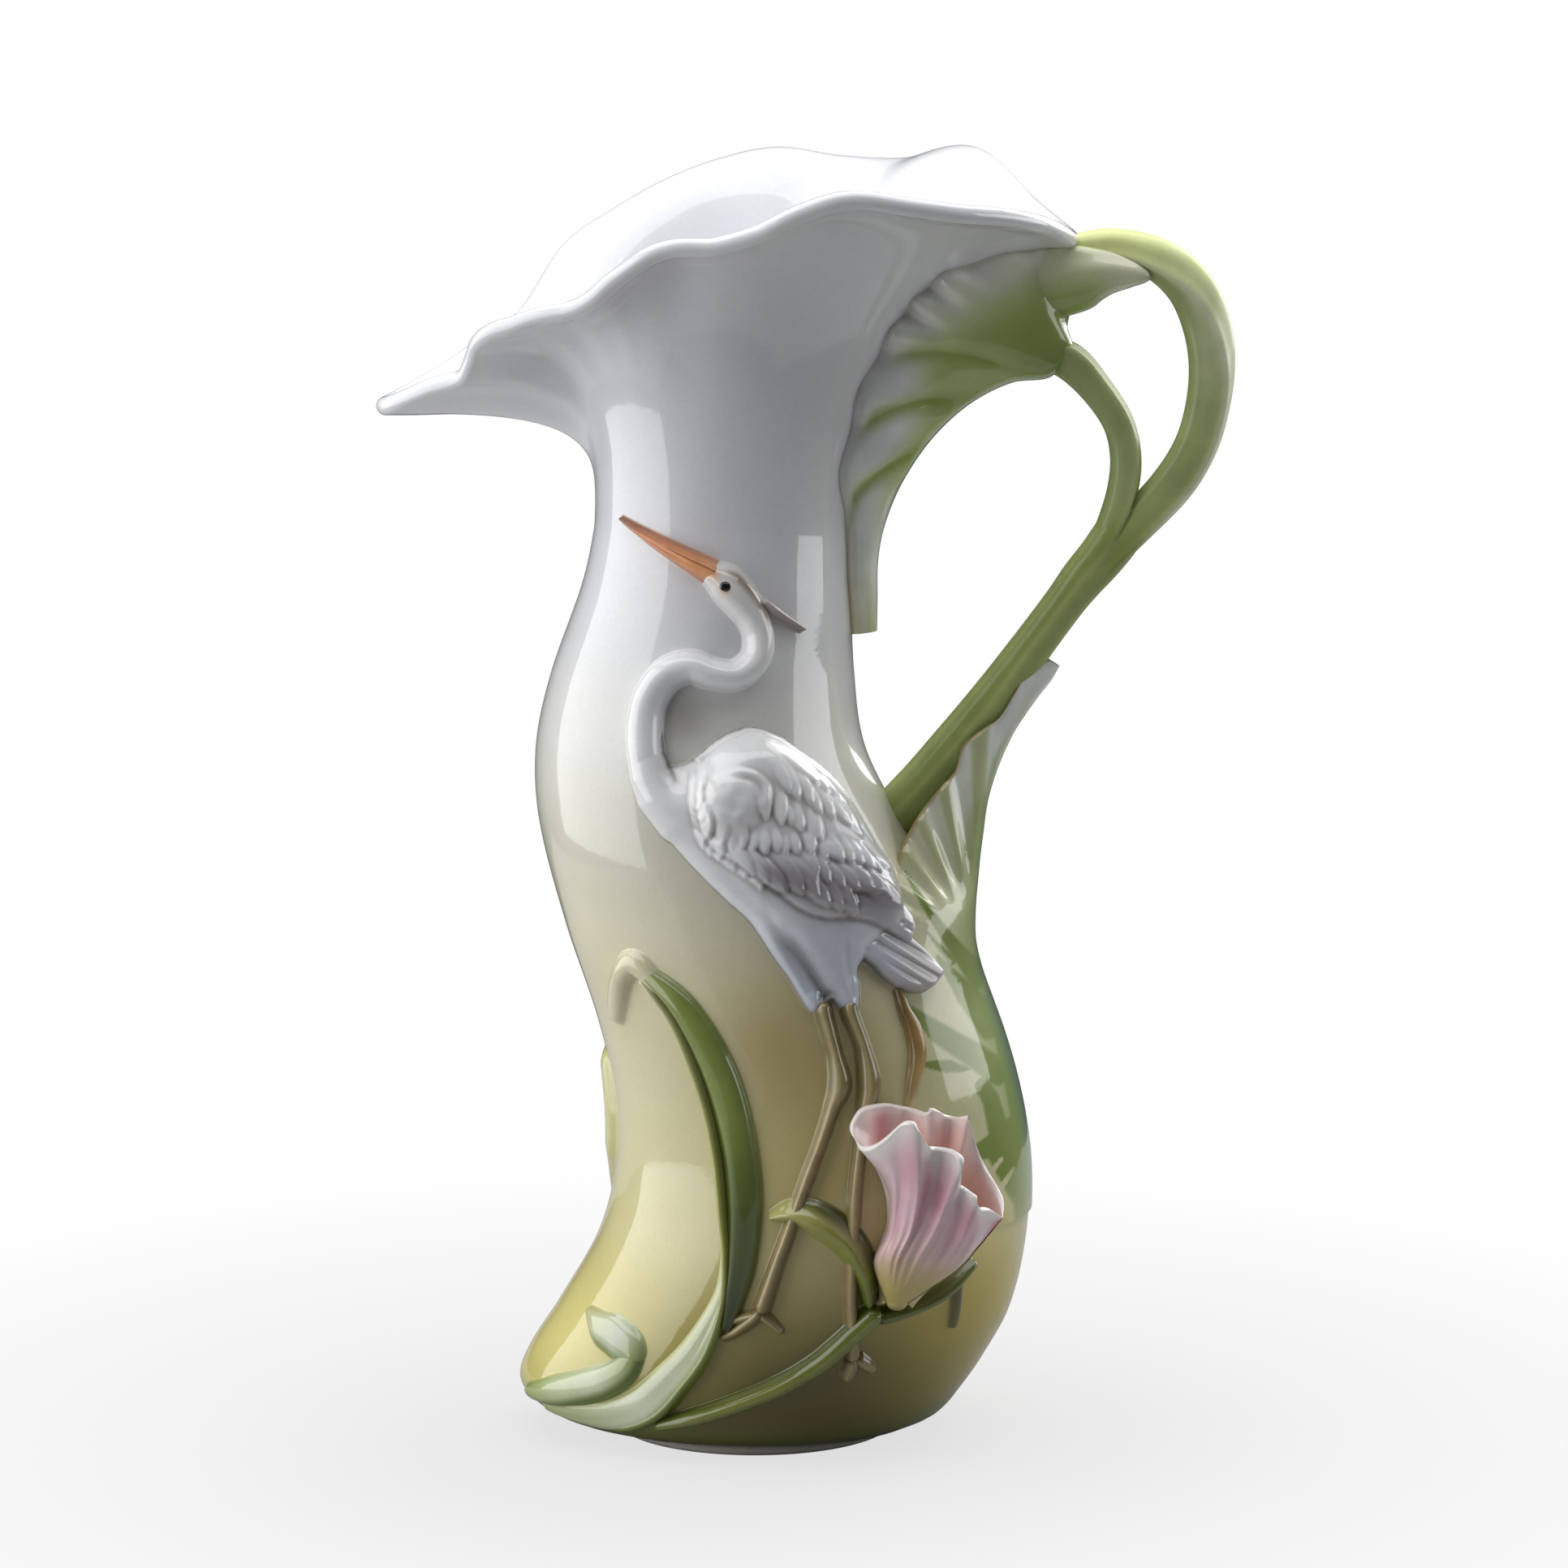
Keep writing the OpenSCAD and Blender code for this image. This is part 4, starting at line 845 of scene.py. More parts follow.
def pleats_at(points, u):
    """Pleats that fan out from the place where the leaf leaves the body."""
    right = points[..., 0] - PLEAT_PIVOT[0]
    up = points[..., 2] - PLEAT_PIVOT[1]
    fade = smooth(10, 24, np.hypot(up, right)) * smooth(0.03, 0.14, u) * smooth(4, 14, up)
    return np.sin(27 * np.arctan2(up, right) + 0.4) * fade


def lower_leaf_paint(points, u, out, pleats):
    pale = painted(LOWER_LEAF_STOPS, u + 0 * out)
    own = mix(0.95, 0.7, smooth(0.2, 0.45, u))
    tint = blend(ground_paint(points), pale, own * smooth(0.0, 0.30, out) * smooth(1.0, 0.8, u))
    tint = blend(tint, (170, 178, 112), 0.6 * smooth(0.1, -0.8, pleats) * smooth(0.5, 0.3, u))
    strokes = leaf_paint(points[..., 0], points[..., 2])
    tint = blend(tint, (126, 146, 64), 0.9 * strokes * smooth(0.30, 0.42, u))
    tint = blend(tint, (150, 170, 104), 0.75 * smooth(0.60, 0.98, out) * smooth(0.02, 0.3, u))
    tint = blend(tint, (104, 138, 128), 0.6 * smooth(0.88, 1.0, out) * smooth(0.5, 0.7, u))
    return blend(tint, (176, 148, 84), 0.7 * smooth(0.08, 0.02, out) * smooth(0.5, 0.4, u))


def build_lower_leaf():
    places, _ = drawn_out(LOWER_LEAF, 320, LOWER_LEAF_SCALE)
    u = np.linspace(0, 1, len(places))[:, None]
    points, out = lower_leaf_sheet(places, 141)
    pleats = pleats_at(points, u)
    fade = smooth(0.0, 0.10, out) * smooth(1.0, 0.80, out)
    points = points + grid_normals(points) * (0.8 * pleats * fade)[..., None]
    tint = lower_leaf_paint(points, u, out, pleats)
    one_grid("lower_leaf_blade", "leaf_glaze", "lower_leaf", points, tint, flip=True)


# Sprigs pressed on the body: ribbons along paths, with a soft fillet of slip round their edges

# The slip: how far it spreads, its height at the edge, how fast it falls, and its end below the surface
SKIRT = 1.4
FILLET = 0.45
FALL = 0.5
SINK = 0.12
BODY_SCALE = np.array([BODY_W, BODY_H])
# Least radius of a ribbon's end, and its least half width
MIN_END_R = 0.05
MIN_HALF_W = 0.02
# Full width and lift of each sprig
SPRIG_SIZES = {
    "reed_leaf": (11.4, 4.2), "reed_ridge": (2.6, 3.4), "reed_leaf_tip": (7.0, 4.0),
    "back_reed_leaf": (11.4, 4.0), "base_leaf": (9.4, 2.4), "toe_leaf": (8.8, 3.0),
    "toe_sprout": (10.4, 3.0), "dry_stalk": (4.8, 3.0), "flower_stalk": (6.2, 5.0),
    "flower_leaf": (8.8, 5.0), "side_shoot": (4.2, 4.0), "side_twig": (4.2, 3.0),
    "heron_neck": (8.8, 6.4), "heron_bill": (6.4, 6.4), "heron_crest": (2.8, 6.6),
    "heron_leg": (4.3, 3.6), "heron_toe": (3.8, 3.2),
}


def slip_height(beyond):
    """Height of the slip at a distance beyond the edge of a sprig."""
    return FILLET * np.exp(-beyond / FALL) - SINK


def rounded(share):
    return np.sqrt(np.clip(1 - share * share, 0, 1))


def half_round(place, share):
    return rounded(share)


def end_taper(run, radius):
    """Rounding of a ribbon's end; run is the distance from that end."""
    return rounded(1 - np.clip(run / max(radius, MIN_END_R), 0, 1))


def ribbon(rows, size, count, cells, profile=half_round, side=FRONT, blunt=(1.0, 1.0)):
    """Grid of a sprig along a path of shares: across the body, height, width, lift.
    Returns its points, its place along and across, and how much of its own colour it takes."""
    width, lift = SPRIG_SIZES[size]
    places, run = drawn_out(rows, count, BODY_SCALE)
    z = places[:, 1] * BODY_H
    path = body_point(seat_angle(places[:, 0] * BODY_W, z, side), z)
    along = unit(np.gradient(path, axis=0))
    normal = vessel_normal(angle_at(path), z / BODY_H)
    aside = unit(np.cross(normal, along))
    half = places[:, 2] * width / 2
    taper = end_taper(run, half[0] * blunt[0]) * end_taper(run[-1] - run, half[-1] * blunt[1])
    half = np.maximum(half * taper, MIN_HALF_W)[:, None]
    reach = np.sin(np.linspace(-1, 1, cells + 1) * math.pi / 2) * (half + SKIRT)
    beyond = np.abs(reach) - half
    share = np.clip(reach / half, -1, 1)
    place = np.linspace(0, 1, count)[:, None] + 0 * share
    swell = profile(place, share) * (places[:, 3] * lift * taper)[:, None]
    slip = slip_height(np.maximum(beyond, 0))
    height = np.where(np.abs(share) < 1, np.maximum(swell, slip), slip)
    flat = path[:, None] + aside[:, None] * reach[..., None]
    points = over_body(angle_at(flat), flat[..., 2], height)
    return points, place, share, 1 - smooth(-0.15, 0.75 * SKIRT, beyond)


def add_ribbon(piece, rows, paint, size, count=90, cells=24, **more):
    points, place, share, own = ribbon(rows, size, count, cells, **more)
    piece.grid(points, blend(ground_paint(points), paint(place, share), own), flip=True)


def sprig(name, slot, node, rows, paint, size=None, **more):
    """A piece of one ribbon; its size goes by the node's name unless another is given."""
    piece = Piece(name, slot, node)
    add_ribbon(piece, rows, paint, size or node, **more)
    piece.build()


def plain_paint(stops, edge=None, edge_amount=0.5, crest=None, crest_amount=0.4):
    """Colour along a ribbon from its stops, with other colours on its edges and its crest."""
    def paint(place, share):
        colour = painted(stops, place)
        if edge is not None:
            colour = blend(colour, edge, edge_amount * smooth(0.55, 1.0, np.abs(share)))
        if crest is not None:
            colour = blend(colour, crest, crest_amount * bell(share, 0, 0.35))
        return colour
    return paint


# Reeds and leaves

REED_LEAF = [
    [-0.222, 0.527, 0.30, 0.5], [-0.190, 0.515, 0.52, 0.7], [-0.140, 0.489, 0.78, 0.9],
    [-0.091, 0.445, 0.95, 1.0], [-0.056, 0.396, 1.02, 1.0], [-0.032, 0.338, 1.00, 1.0],
    [-0.023, 0.281, 0.98, 1.0], [-0.028, 0.226, 0.84, 0.95], [-0.040, 0.185, 0.62, 0.85],
    [-0.056, 0.145, 0.30, 0.6],
]
REED_RIDGE = [
    [-0.214, 0.517, 0.8, 0.7], [-0.155, 0.474, 0.95, 0.8], [-0.118, 0.431, 1.0, 0.9],
    [-0.089, 0.384, 1.0, 0.9], [-0.069, 0.331, 1.0, 0.9], [-0.057, 0.270, 1.0, 1.0],
    [-0.050, 0.225, 1.0, 1.0], [-0.056, 0.176, 1.0, 1.0], [-0.089, 0.121, 1.1, 1.0],
    [-0.135, 0.083, 1.2, 1.0], [-0.180, 0.053, 1.2, 0.9], [-0.236, 0.035, 1.0, 0.7],
    [-0.290, 0.028, 0.5, 0.3],
]
REED_TIP = [
    [-0.170, 0.502, 0.60, 0.5], [-0.205, 0.523, 0.92, 0.75], [-0.231, 0.530, 1.02, 0.85],
    [-0.250, 0.514, 1.02, 0.85], [-0.259, 0.486, 0.98, 0.75], [-0.262, 0.458, 0.80, 0.55],
]
BACK_REED = [
    [-0.276, 0.410, 0.30, 0.5], [-0.280, 0.385, 0.75, 0.8], [-0.274, 0.340, 1.00, 0.9],
    [-0.262, 0.280, 1.00, 0.9], [-0.255, 0.215, 0.85, 0.8], [-0.270, 0.150, 0.45, 0.6],
]
BASE_LEAF = [
    [-0.051, 0.252, 0.20, 0.5], [-0.054, 0.205, 0.32, 0.7], [-0.068, 0.172, 0.46, 0.85],
    [-0.113, 0.122, 0.80, 1.0], [-0.169, 0.083, 1.02, 1.0], [-0.220, 0.056, 1.06, 1.0],
    [-0.281, 0.0415, 0.90, 0.9], [-0.345, 0.037, 0.62, 0.7], [-0.410, 0.036, 0.25, 0.5],
]
TOE_LEAF = [
    [-0.445, 0.046, 0.40, 0.5], [-0.388, 0.058, 0.90, 0.8], [-0.333, 0.069, 1.05, 1.0],
    [-0.289, 0.079, 1.05, 1.0], [-0.253, 0.093, 0.95, 1.0], [-0.234, 0.107, 0.75, 0.9],
    [-0.228, 0.120, 0.50, 0.7],
]
TOE_SPROUT = [
    [-0.225, 0.099, 0.50, 0.8], [-0.239, 0.116, 0.95, 1.0], [-0.265, 0.127, 1.02, 1.0],
    [-0.295, 0.133, 0.80, 0.8], [-0.322, 0.146, 0.16, 0.4],
]
DRY_STALK = [
    [0.270, 0.508, 0.45, 0.5], [0.283, 0.484, 0.70, 0.8], [0.300, 0.462, 1.00, 1.0],
    [0.309, 0.436, 1.05, 1.0], [0.298, 0.402, 0.70, 0.7], [0.288, 0.372, 0.30, 0.3],
]
# Olive along the reed blade, darker towards its lower end, where painted shade stands for the groove's
# shadow
BLADE_STOPS = [
    [0, 168, 178, 110], [0.15, 140, 154, 78], [0.45, 134, 149, 74], [0.7, 84, 98, 40], [1, 54, 64, 22],
]
RIDGE_STOPS = [
    [0, 226, 222, 182], [0.2, 204, 204, 140], [0.45, 184, 186, 100], [0.6, 150, 158, 76], [1, 112, 132, 56],
]
TIP_STOPS = [[0, 230, 226, 190], [1, 236, 230, 198]]
BACK_REED_STOPS = [[0, 222, 220, 162], [0.4, 232, 226, 178], [1, 216, 210, 150]]
FLAP_STOPS = [[0, 176, 182, 108], [0.2, 216, 222, 180], [0.7, 230, 238, 208], [1, 182, 198, 132]]
# The toe leaf is pale in the middle, partly a painted reflection on its face
TOE_STOPS = [[0, 150, 170, 84], [0.25, 196, 210, 160], [0.6, 214, 224, 194], [1, 150, 168, 96]]
SPROUT_STOPS = [[0, 150, 168, 96], [0.4, 208, 220, 196], [0.8, 220, 222, 176], [1, 212, 206, 140]]
DRY_STOPS = [[0, 120, 96, 54], [0.5, 164, 132, 76], [1, 190, 170, 120]]


def folded_blade(place, share):
    """A blade with a deep fold along its left side."""
    crest = smooth(-0.95, -0.12, share) * rounded(np.clip(share, 0, 1))
    return 0.10 + 0.90 * crest


def blade_paint(place, share):
    colour = painted(BLADE_STOPS, place)
    # Painted shade: the deep fold along the left side is painted near black
    colour = blend(colour, (52, 62, 14), 0.85 * smooth(-0.10, -0.75, share))
    return blend(colour, (124, 142, 74), 0.5 * smooth(0.3, 0.9, share))


def flap(place, share):
    """A broad leaf that is fuller along one side."""
    return rounded(share) * (0.62 + 0.38 * smooth(0.0, 0.9, share))


def flap_paint(place, share):
    colour = painted(FLAP_STOPS, place)
    # Beyond the ridge: darker green glaze with painted shade on that side
    colour = blend(colour, (124, 142, 64), 0.75 * smooth(0.70, 1.0, share))
    return blend(colour, (176, 180, 96), 0.7 * smooth(-0.75, -1.0, share))


def toe_paint(place, share):
    colour = painted(TOE_STOPS, place)
    # Dark green underside along one edge, with painted shade on it
    return blend(colour, (98, 122, 46), 0.85 * smooth(-0.35, -0.85, share))


def sprout_paint(place, share):
    colour = painted(SPROUT_STOPS, place)
    return blend(colour, (112, 134, 60), 0.8 * smooth(0.55, 0.95, share))


def build_reeds():
    reed = Piece("reed_leaf_blade", "reed_glaze", "reed_leaf")
    ridge = plain_paint(RIDGE_STOPS, edge=(110, 124, 44), edge_amount=0.6)
    add_ribbon(reed, REED_LEAF, blade_paint, "reed_leaf", count=130, cells=34, profile=folded_blade)
    add_ribbon(reed, REED_RIDGE, ridge, "reed_ridge", count=140, cells=18)
    reed.build()
    tip = plain_paint(TIP_STOPS)
    sprig("reed_leaf_tip_curl", "leaf_glaze", "reed_leaf_tip", REED_TIP, tip, count=60)
    pale = plain_paint(BACK_REED_STOPS, edge=(196, 196, 124))
    sprig("back_reed_leaf_blade", "leaf_glaze", "back_reed_leaf", BACK_REED, pale, side=BACK)


def build_base_leaves():
    broad = dict(count=120, cells=32, profile=flap)
    sprig("base_leaf_flap", "leaf_glaze", "base_leaf", BASE_LEAF, flap_paint, **broad)
    sprig("toe_leaf_blade", "leaf_glaze", "toe_leaf", TOE_LEAF, toe_paint, cells=28)
    sprig("toe_sprout_curl", "leaf_glaze", "toe_sprout", TOE_SPROUT, sprout_paint, count=80, cells=28)
    # Brown dry stalk with a painted highlight along its crest
    dry = plain_paint(DRY_STOPS, crest=(206, 184, 132))
    sprig("dry_stalk_strand", "leg_glaze", "dry_stalk", DRY_STALK, dry, count=70)


# The flower's stalk and its leaves

FLOWER_STALK = [
    [-0.190, 0.038, 0.50, 0.5], [-0.130, 0.048, 0.70, 0.8], [-0.065, 0.060, 0.80, 0.9],
    [0.039, 0.085, 0.90, 1.0], [0.121, 0.113, 0.96, 1.0], [0.185, 0.145, 1.00, 1.0],
    [0.236, 0.172, 0.94, 1.0],
]
FLOWER_LEAF = [
    [0.218, 0.172, 0.50, 0.8], [0.214, 0.198, 0.70, 0.95], [0.205, 0.217, 0.88, 1.0],
    [0.178, 0.245, 1.02, 1.0], [0.124, 0.268, 1.08, 1.0], [0.076, 0.277, 0.82, 0.9],
    [0.028, 0.270, 0.20, 0.5],
]
SIDE_SHOOT = [
    [0.225, 0.160, 1.10, 1.0], [0.272, 0.165, 1.05, 1.0], [0.330, 0.175, 1.00, 1.0],
    [0.371, 0.187, 0.95, 0.9], [0.420, 0.210, 0.60, 0.6],
]
SIDE_TWIG = [[0.388, 0.190, 0.80, 0.6], [0.384, 0.160, 0.75, 0.7], [0.379, 0.136, 0.60, 0.5]]
OLIVE_STOPS = [[0, 112, 122, 54], [0.4, 124, 132, 56], [1, 108, 120, 42]]
FLOWER_LEAF_STOPS = [[0, 104, 116, 40], [0.45, 150, 156, 74], [1, 196, 192, 122]]
SHOOT_STOPS = [[0, 84, 94, 32], [1, 106, 112, 52]]
TWIG_STOPS = [[0, 110, 104, 54], [1, 130, 120, 70]]


def curled_leaf(place, share):
    crest = bell(share, 0.30, 0.55)
    return rounded(share) * (0.55 + 0.45 * crest)


def leaf_side_paint(place, share):
    colour = painted(FLOWER_LEAF_STOPS, place)
    return blend(colour, (58, 68, 16), 0.85 * smooth(-0.05, -0.75, share) * smooth(0.95, 0.6, place))


def build_stalks():
    # Olive stalk, darker at its edges, with a painted highlight along its crest
    olive = plain_paint(OLIVE_STOPS, edge=(66, 76, 22), crest=(158, 160, 84))
    sprig("flower_stalk_vine", "stalk_glaze", "flower_stalk", FLOWER_STALK, olive, count=110)
    curl = dict(count=100, cells=30, profile=curled_leaf, blunt=(1.0, 0.6))
    sprig("flower_leaf_blade", "stalk_glaze", "flower_leaf", FLOWER_LEAF, leaf_side_paint, **curl)
    shoot = plain_paint(SHOOT_STOPS, crest=(124, 130, 64))
    sprig("side_shoot_vine", "stalk_glaze", "side_shoot", SIDE_SHOOT, shoot, count=70)
    sprig("side_twig_stub", "stalk_glaze", "side_twig", SIDE_TWIG, plain_paint(TWIG_STOPS), count=40)


# The heron's slim parts

HERON_NECK = [
    [-0.092, 0.947, 0.55, 0.72], [-0.076, 0.941, 0.86, 0.94], [-0.056, 0.933, 1.14, 1.08],
    [-0.038, 0.922, 1.20, 1.12], [-0.019, 0.908, 1.10, 1.06], [-0.004, 0.894, 0.98, 1.02],
    [0.006, 0.875, 0.93, 1.00], [-0.001, 0.852, 0.92, 1.00], [-0.036, 0.837, 0.92, 1.00],
    [-0.080, 0.839, 0.95, 1.00], [-0.121, 0.846, 1.00, 1.00], [-0.165, 0.836, 1.05, 1.00],
    [-0.196, 0.811, 1.05, 1.00], [-0.206, 0.780, 1.10, 1.00], [-0.203, 0.752, 1.12, 1.00],
    [-0.193, 0.732, 1.10, 0.90], [-0.174, 0.712, 1.00, 0.55],
]
# The whole path against its visible part, and the head's share of the visible part
NECK_STRETCH = 1.262
HEAD_SHARE = 0.21
HERON_BILL = [
    [-0.066, 0.938, 1.06, 0.98], [-0.090, 0.946, 0.98, 0.90], [-0.135, 0.959, 0.76, 0.72],
    [-0.200, 0.978, 0.46, 0.48], [-0.252, 0.994, 0.16, 0.22],
]
HERON_CREST = [
    [0.004, 0.914, 0.90, 0.90], [0.0234, 0.905, 1.20, 0.86], [0.046, 0.896, 0.95, 0.64],
    [0.070, 0.887, 0.75, 0.48], [0.091, 0.879, 0.50, 0.36],
]
NEAR_LEG = [
    [0.128, 0.500, 1.10, 1.1], [0.131, 0.485, 1.05, 1.05], [0.152, 0.442, 0.95, 1.0],
    [0.161, 0.411, 1.40, 1.2], [0.146, 0.386, 0.95, 1.0], [0.124, 0.348, 0.85, 1.0],
    [0.100, 0.311, 0.85, 1.0], [0.064, 0.252, 0.85, 1.0], [0.045, 0.222, 0.90, 1.0],
    [0.012, 0.166, 1.10, 1.0],
]
FAR_LEG = [
    [0.178, 0.500, 1.10, 1.1], [0.180, 0.485, 1.05, 1.05], [0.204, 0.449, 0.95, 1.0],
    [0.216, 0.411, 1.40, 1.2], [0.206, 0.380, 0.92, 1.0], [0.197, 0.338, 0.85, 1.0],
    [0.189, 0.286, 0.85, 0.9], [0.182, 0.198, 0.85, 0.9], [0.184, 0.150, 0.90, 0.9],
    [0.186, 0.112, 1.00, 0.9],
]
NEAR_TOES = [
    [[0.016, 0.170, 0.95, 1.0], [-0.012, 0.156, 0.85, 0.9], [-0.040, 0.144, 0.70, 0.7],
     [-0.064, 0.137, 0.45, 0.4]],
    [[0.010, 0.165, 0.90, 0.9], [-0.024, 0.160, 0.70, 0.7], [-0.052, 0.154, 0.40, 0.4]],
    [[0.010, 0.167, 0.90, 0.9], [0.030, 0.158, 0.70, 0.7], [0.054, 0.145, 0.40, 0.4]],
]
FAR_TOES = [
    [[0.188, 0.118, 1.05, 0.9], [0.178, 0.100, 1.15, 0.9], [0.172, 0.088, 0.80, 0.5]],
    [[0.190, 0.118, 1.00, 0.9], [0.212, 0.107, 0.95, 0.8], [0.230, 0.098, 0.60, 0.4]],
]
NECK_STOPS = [[0, 236, 232, 228], [0.1, 238, 236, 234], [0.5, 249, 250, 252], [1, 248, 250, 252]]
BILL_STOPS = [
    [0, 230, 172, 124], [0.25, 228, 152, 96], [0.7, 218, 140, 88], [0.9, 178, 124, 94], [1, 136, 108, 96],
]
LEG_STOPS = [[0, 122, 110, 76], [0.3, 148, 133, 90], [0.7, 154, 138, 90], [1, 140, 124, 78]]
PLUME_STOPS = [[0, 214, 208, 204], [0.4, 172, 158, 150], [1, 156, 140, 130]]


def neck_paint(place, share):
    run = place * NECK_STRETCH
    colour = painted(NECK_STOPS, run)
    # Painted shade along the neck's edges
    colour = blend(colour, (214, 216, 222), 0.12 * smooth(0.5, 1.0, np.abs(share)))
    stripe = bell(share, 0.52, 0.22) * smooth(0.05, 0.11, run) * smooth(0.34, 0.24, run)
    colour = blend(colour, (134, 116, 106), 0.8 * stripe)
    lore = bell(share, -0.05, 0.34) * smooth(0.085, 0.03, run)
    smudge = bell(share, -0.38, 0.18) * bell(run, 0.105, 0.022)
    return blend(colour, (222, 152, 98), 0.85 * np.maximum(lore, 0.7 * smudge))


def bill_paint(place, share):
    colour = painted(BILL_STOPS, place)
    slit = bell(share, -0.18, 0.09) * smooth(0.62, 0.40, place)
    colour = blend(colour, (132, 70, 38), 0.75 * slit)
    return blend(colour, (168, 92, 50), 0.5 * smooth(0.5, 1, np.abs(share)))


def leg_paint(place, share):
    colour = painted(LEG_STOPS, place)
    # A painted highlight line along each leg, and the leg darker along its other side
    colour = blend(colour, (216, 202, 152), 0.55 * bell(share, -0.30, 0.30))
    return blend(colour, (96, 84, 48), 0.6 * smooth(0.3, 1, share))


def build_neck():
    points, place, share, own = ribbon(HERON_NECK, "heron_neck", 300, 44, blunt=(1.0, 0.1))
    tint = blend(ground_paint(points), neck_paint(place, share), own)
    owner = np.where(place * NECK_STRETCH < HEAD_SHARE, 0, 1)
    cut_grid(points, tint, owner, ["heron_head", "heron_neck"], np.ones(owner.shape, bool), flip=True)


def build_bill_and_crest():
    bill = dict(cells=32, blunt=(0.4, 1.0))
    sprig("heron_bill_relief", "bill_glaze", "heron_bill", HERON_BILL, bill_paint, **bill)
    plume = plain_paint(PLUME_STOPS, crest=(196, 184, 176))
    sprig("heron_crest_plume", "plumage_glaze", "heron_crest", HERON_CREST, plume, count=70, cells=20)


def build_legs():
    leg = dict(size="heron_leg", count=140, cells=20)
    for side, rows in (("near", NEAR_LEG), ("far", FAR_LEG)):
        node = "heron_%s_leg" % side
        sprig(node + "_relief", "leg_glaze", node, rows, leg_paint, **leg)
    for side, toes in (("near", NEAR_TOES), ("far", FAR_TOES)):
        node = "heron_%s_foot" % side
        foot = Piece(node + "_toes", "leg_glaze", node)
        for rows in toes:
            add_ribbon(foot, rows, leg_paint, "heron_toe", count=40, cells=18)
        foot.build()


# The heron's body, wing, tail and thighs: one field of heights in the front view, cut into its pieces

# Outlines are places across and up in the front view
BACK_LINE = [
    [35.5, 161.9], [32.0, 166.3], [27.9, 173.5], [24.4, 179.5], [20.3, 185.1], [16.3, 189.6], [11.8, 193.5],
    [6.2, 198.1], [1.7, 200.3], [-2.2, 200.9], [-7.2, 199.4], [-11.0, 197.2], [-14.9, 193.8],
]
BREAST_LINE = [
    [-29.4, 192.6], [-31.4, 188.0], [-28.6, 181.7], [-23.4, 172.6], [-16.5, 164.6], [-9.1, 157.1],
    [-2.1, 150.7], [1.0, 146.6], [4.8, 140.7], [9.4, 134.3], [14.9, 125.8], [18.4, 126.6], [20.4, 128.6],
    [22.4, 126.6], [24.6, 125.2], [27.5, 125.4], [27.9, 131.7], [27.4, 136.0], [30.0, 139.5],
    [36.0, 146.0], [38.0, 155.0],
]
HERON_OUTLINE = BREAST_LINE + BACK_LINE + [[-18.8, 191.4], [-23.4, 191.0]]
WING_OUTLINE = [
    [-16.5, 196.0], [-15.2, 190.0], [-15.0, 183.0], [-14.0, 176.0], [-11.0, 170.4], [-5.5, 166.2],
    [2.2, 160.1], [6.3, 156.5], [11.5, 152.3], [16.5, 150.0], [22.0, 149.2], [26.6, 148.0],
    [33.9, 144.2], [38.1, 142.0], [41.2, 143.0], [40.6, 147.0], [38.7, 150.2], [35.6, 155.4],
    [34.5, 161.0], [38.0, 172.0], [34.0, 186.0], [20.0, 204.0], [2.0, 216.0], [-16.0, 212.0],
]
# All that lies below the line of the back, at which the wing fades out
UNDER_BACK = [[-18.8, 192.0], [-40.0, 190.0], [-40.0, 100.0], [70.0, 100.0], [70.0, 158.0]]
BACK_REGION = [[39.0, 158.0]] + BACK_LINE + UNDER_BACK
# The lower neck: across, up, half width and share of the neck's lift
NECK_ROOT = [
    [-29.2, 199.5, 4.5, 0.90], [-28.8, 193.3, 4.8, 0.99], [-27.3, 188.1, 5.4, 1.06],
    [-24.6, 183.0, 6.4, 1.08], [-19.5, 177.5, 7.2, 1.05],
]
TAIL_OUTLINE = [
    [24.0, 142.0], [30.7, 137.0], [34.1, 133.3], [38.0, 130.0], [42.5, 128.2], [46.0, 128.2], [48.6, 130.4],
    [49.0, 133.0], [45.4, 137.6], [42.0, 141.2], [36.4, 146.0], [28.0, 148.0],
]
# Rows of feathers: first tip, last tip, count, first and last heading, length, width, rise
FEATHER_ROWS = [
    [(-2, 162.0), (26, 148.6), 8, -56, -54, 17, 4.8, 2.40],
    [(27, 154.0), (40.6, 143.4), 5, -50, -38, 18, 4.2, 2.00],
    [(8, 160.5), (31, 152.6), 7, -60, -48, 12, 4.4, 2.00],
    [(11, 165.4), (32, 158.0), 9, -72, -54, 10, 3.2, 1.60],
    [(-10.5, 169.6), (10, 166.2), 8, -84, -70, 8, 3.2, 1.35],
    [(0.5, 177.0), (15, 168.2), 6, -80, -64, 10, 3.0, 1.30],
    [(4, 183.0), (25, 167.4), 8, -70, -58, 11, 2.8, 1.15],
    [(9, 187.0), (30, 165.0), 9, -60, -58, 13, 2.6, 0.95],
    [(-15.6, 185.0), (-11.6, 171.0), 4, -80, -72, 10, 4.2, 1.25],
    [(-14.6, 170.0), (3.0, 157.4), 8, -78, -60, 8, 3.8, 1.70],
]
# Furrows between belly and thighs: start, end, width, depth, and the rim that they leave out
TRUNK_FURROWS = [
    [(5.0, 151.0), (20.3, 127.0), 2.3, 2.5, 2.0], [(1.0, 156.0), (14.0, 131.0), 1.6, 0.8, 3.0],
    [(22.0, 147.0), (25.5, 129.0), 1.5, 0.6, 3.0],
]
TAIL_ROOT = (30.0, 143.0)
TAIL_SLOPE = 0.64
TAIL_FEATHER_W = 2.9
# The shoulder knob and the fold round it: middle across and up, and their radii
KNOB_AT = (-7.0, 181.5)
KNOB_R = (7.8, 8.2)
FOLD_AT = (-6.4, 182.6)
FOLD_R = 6.9
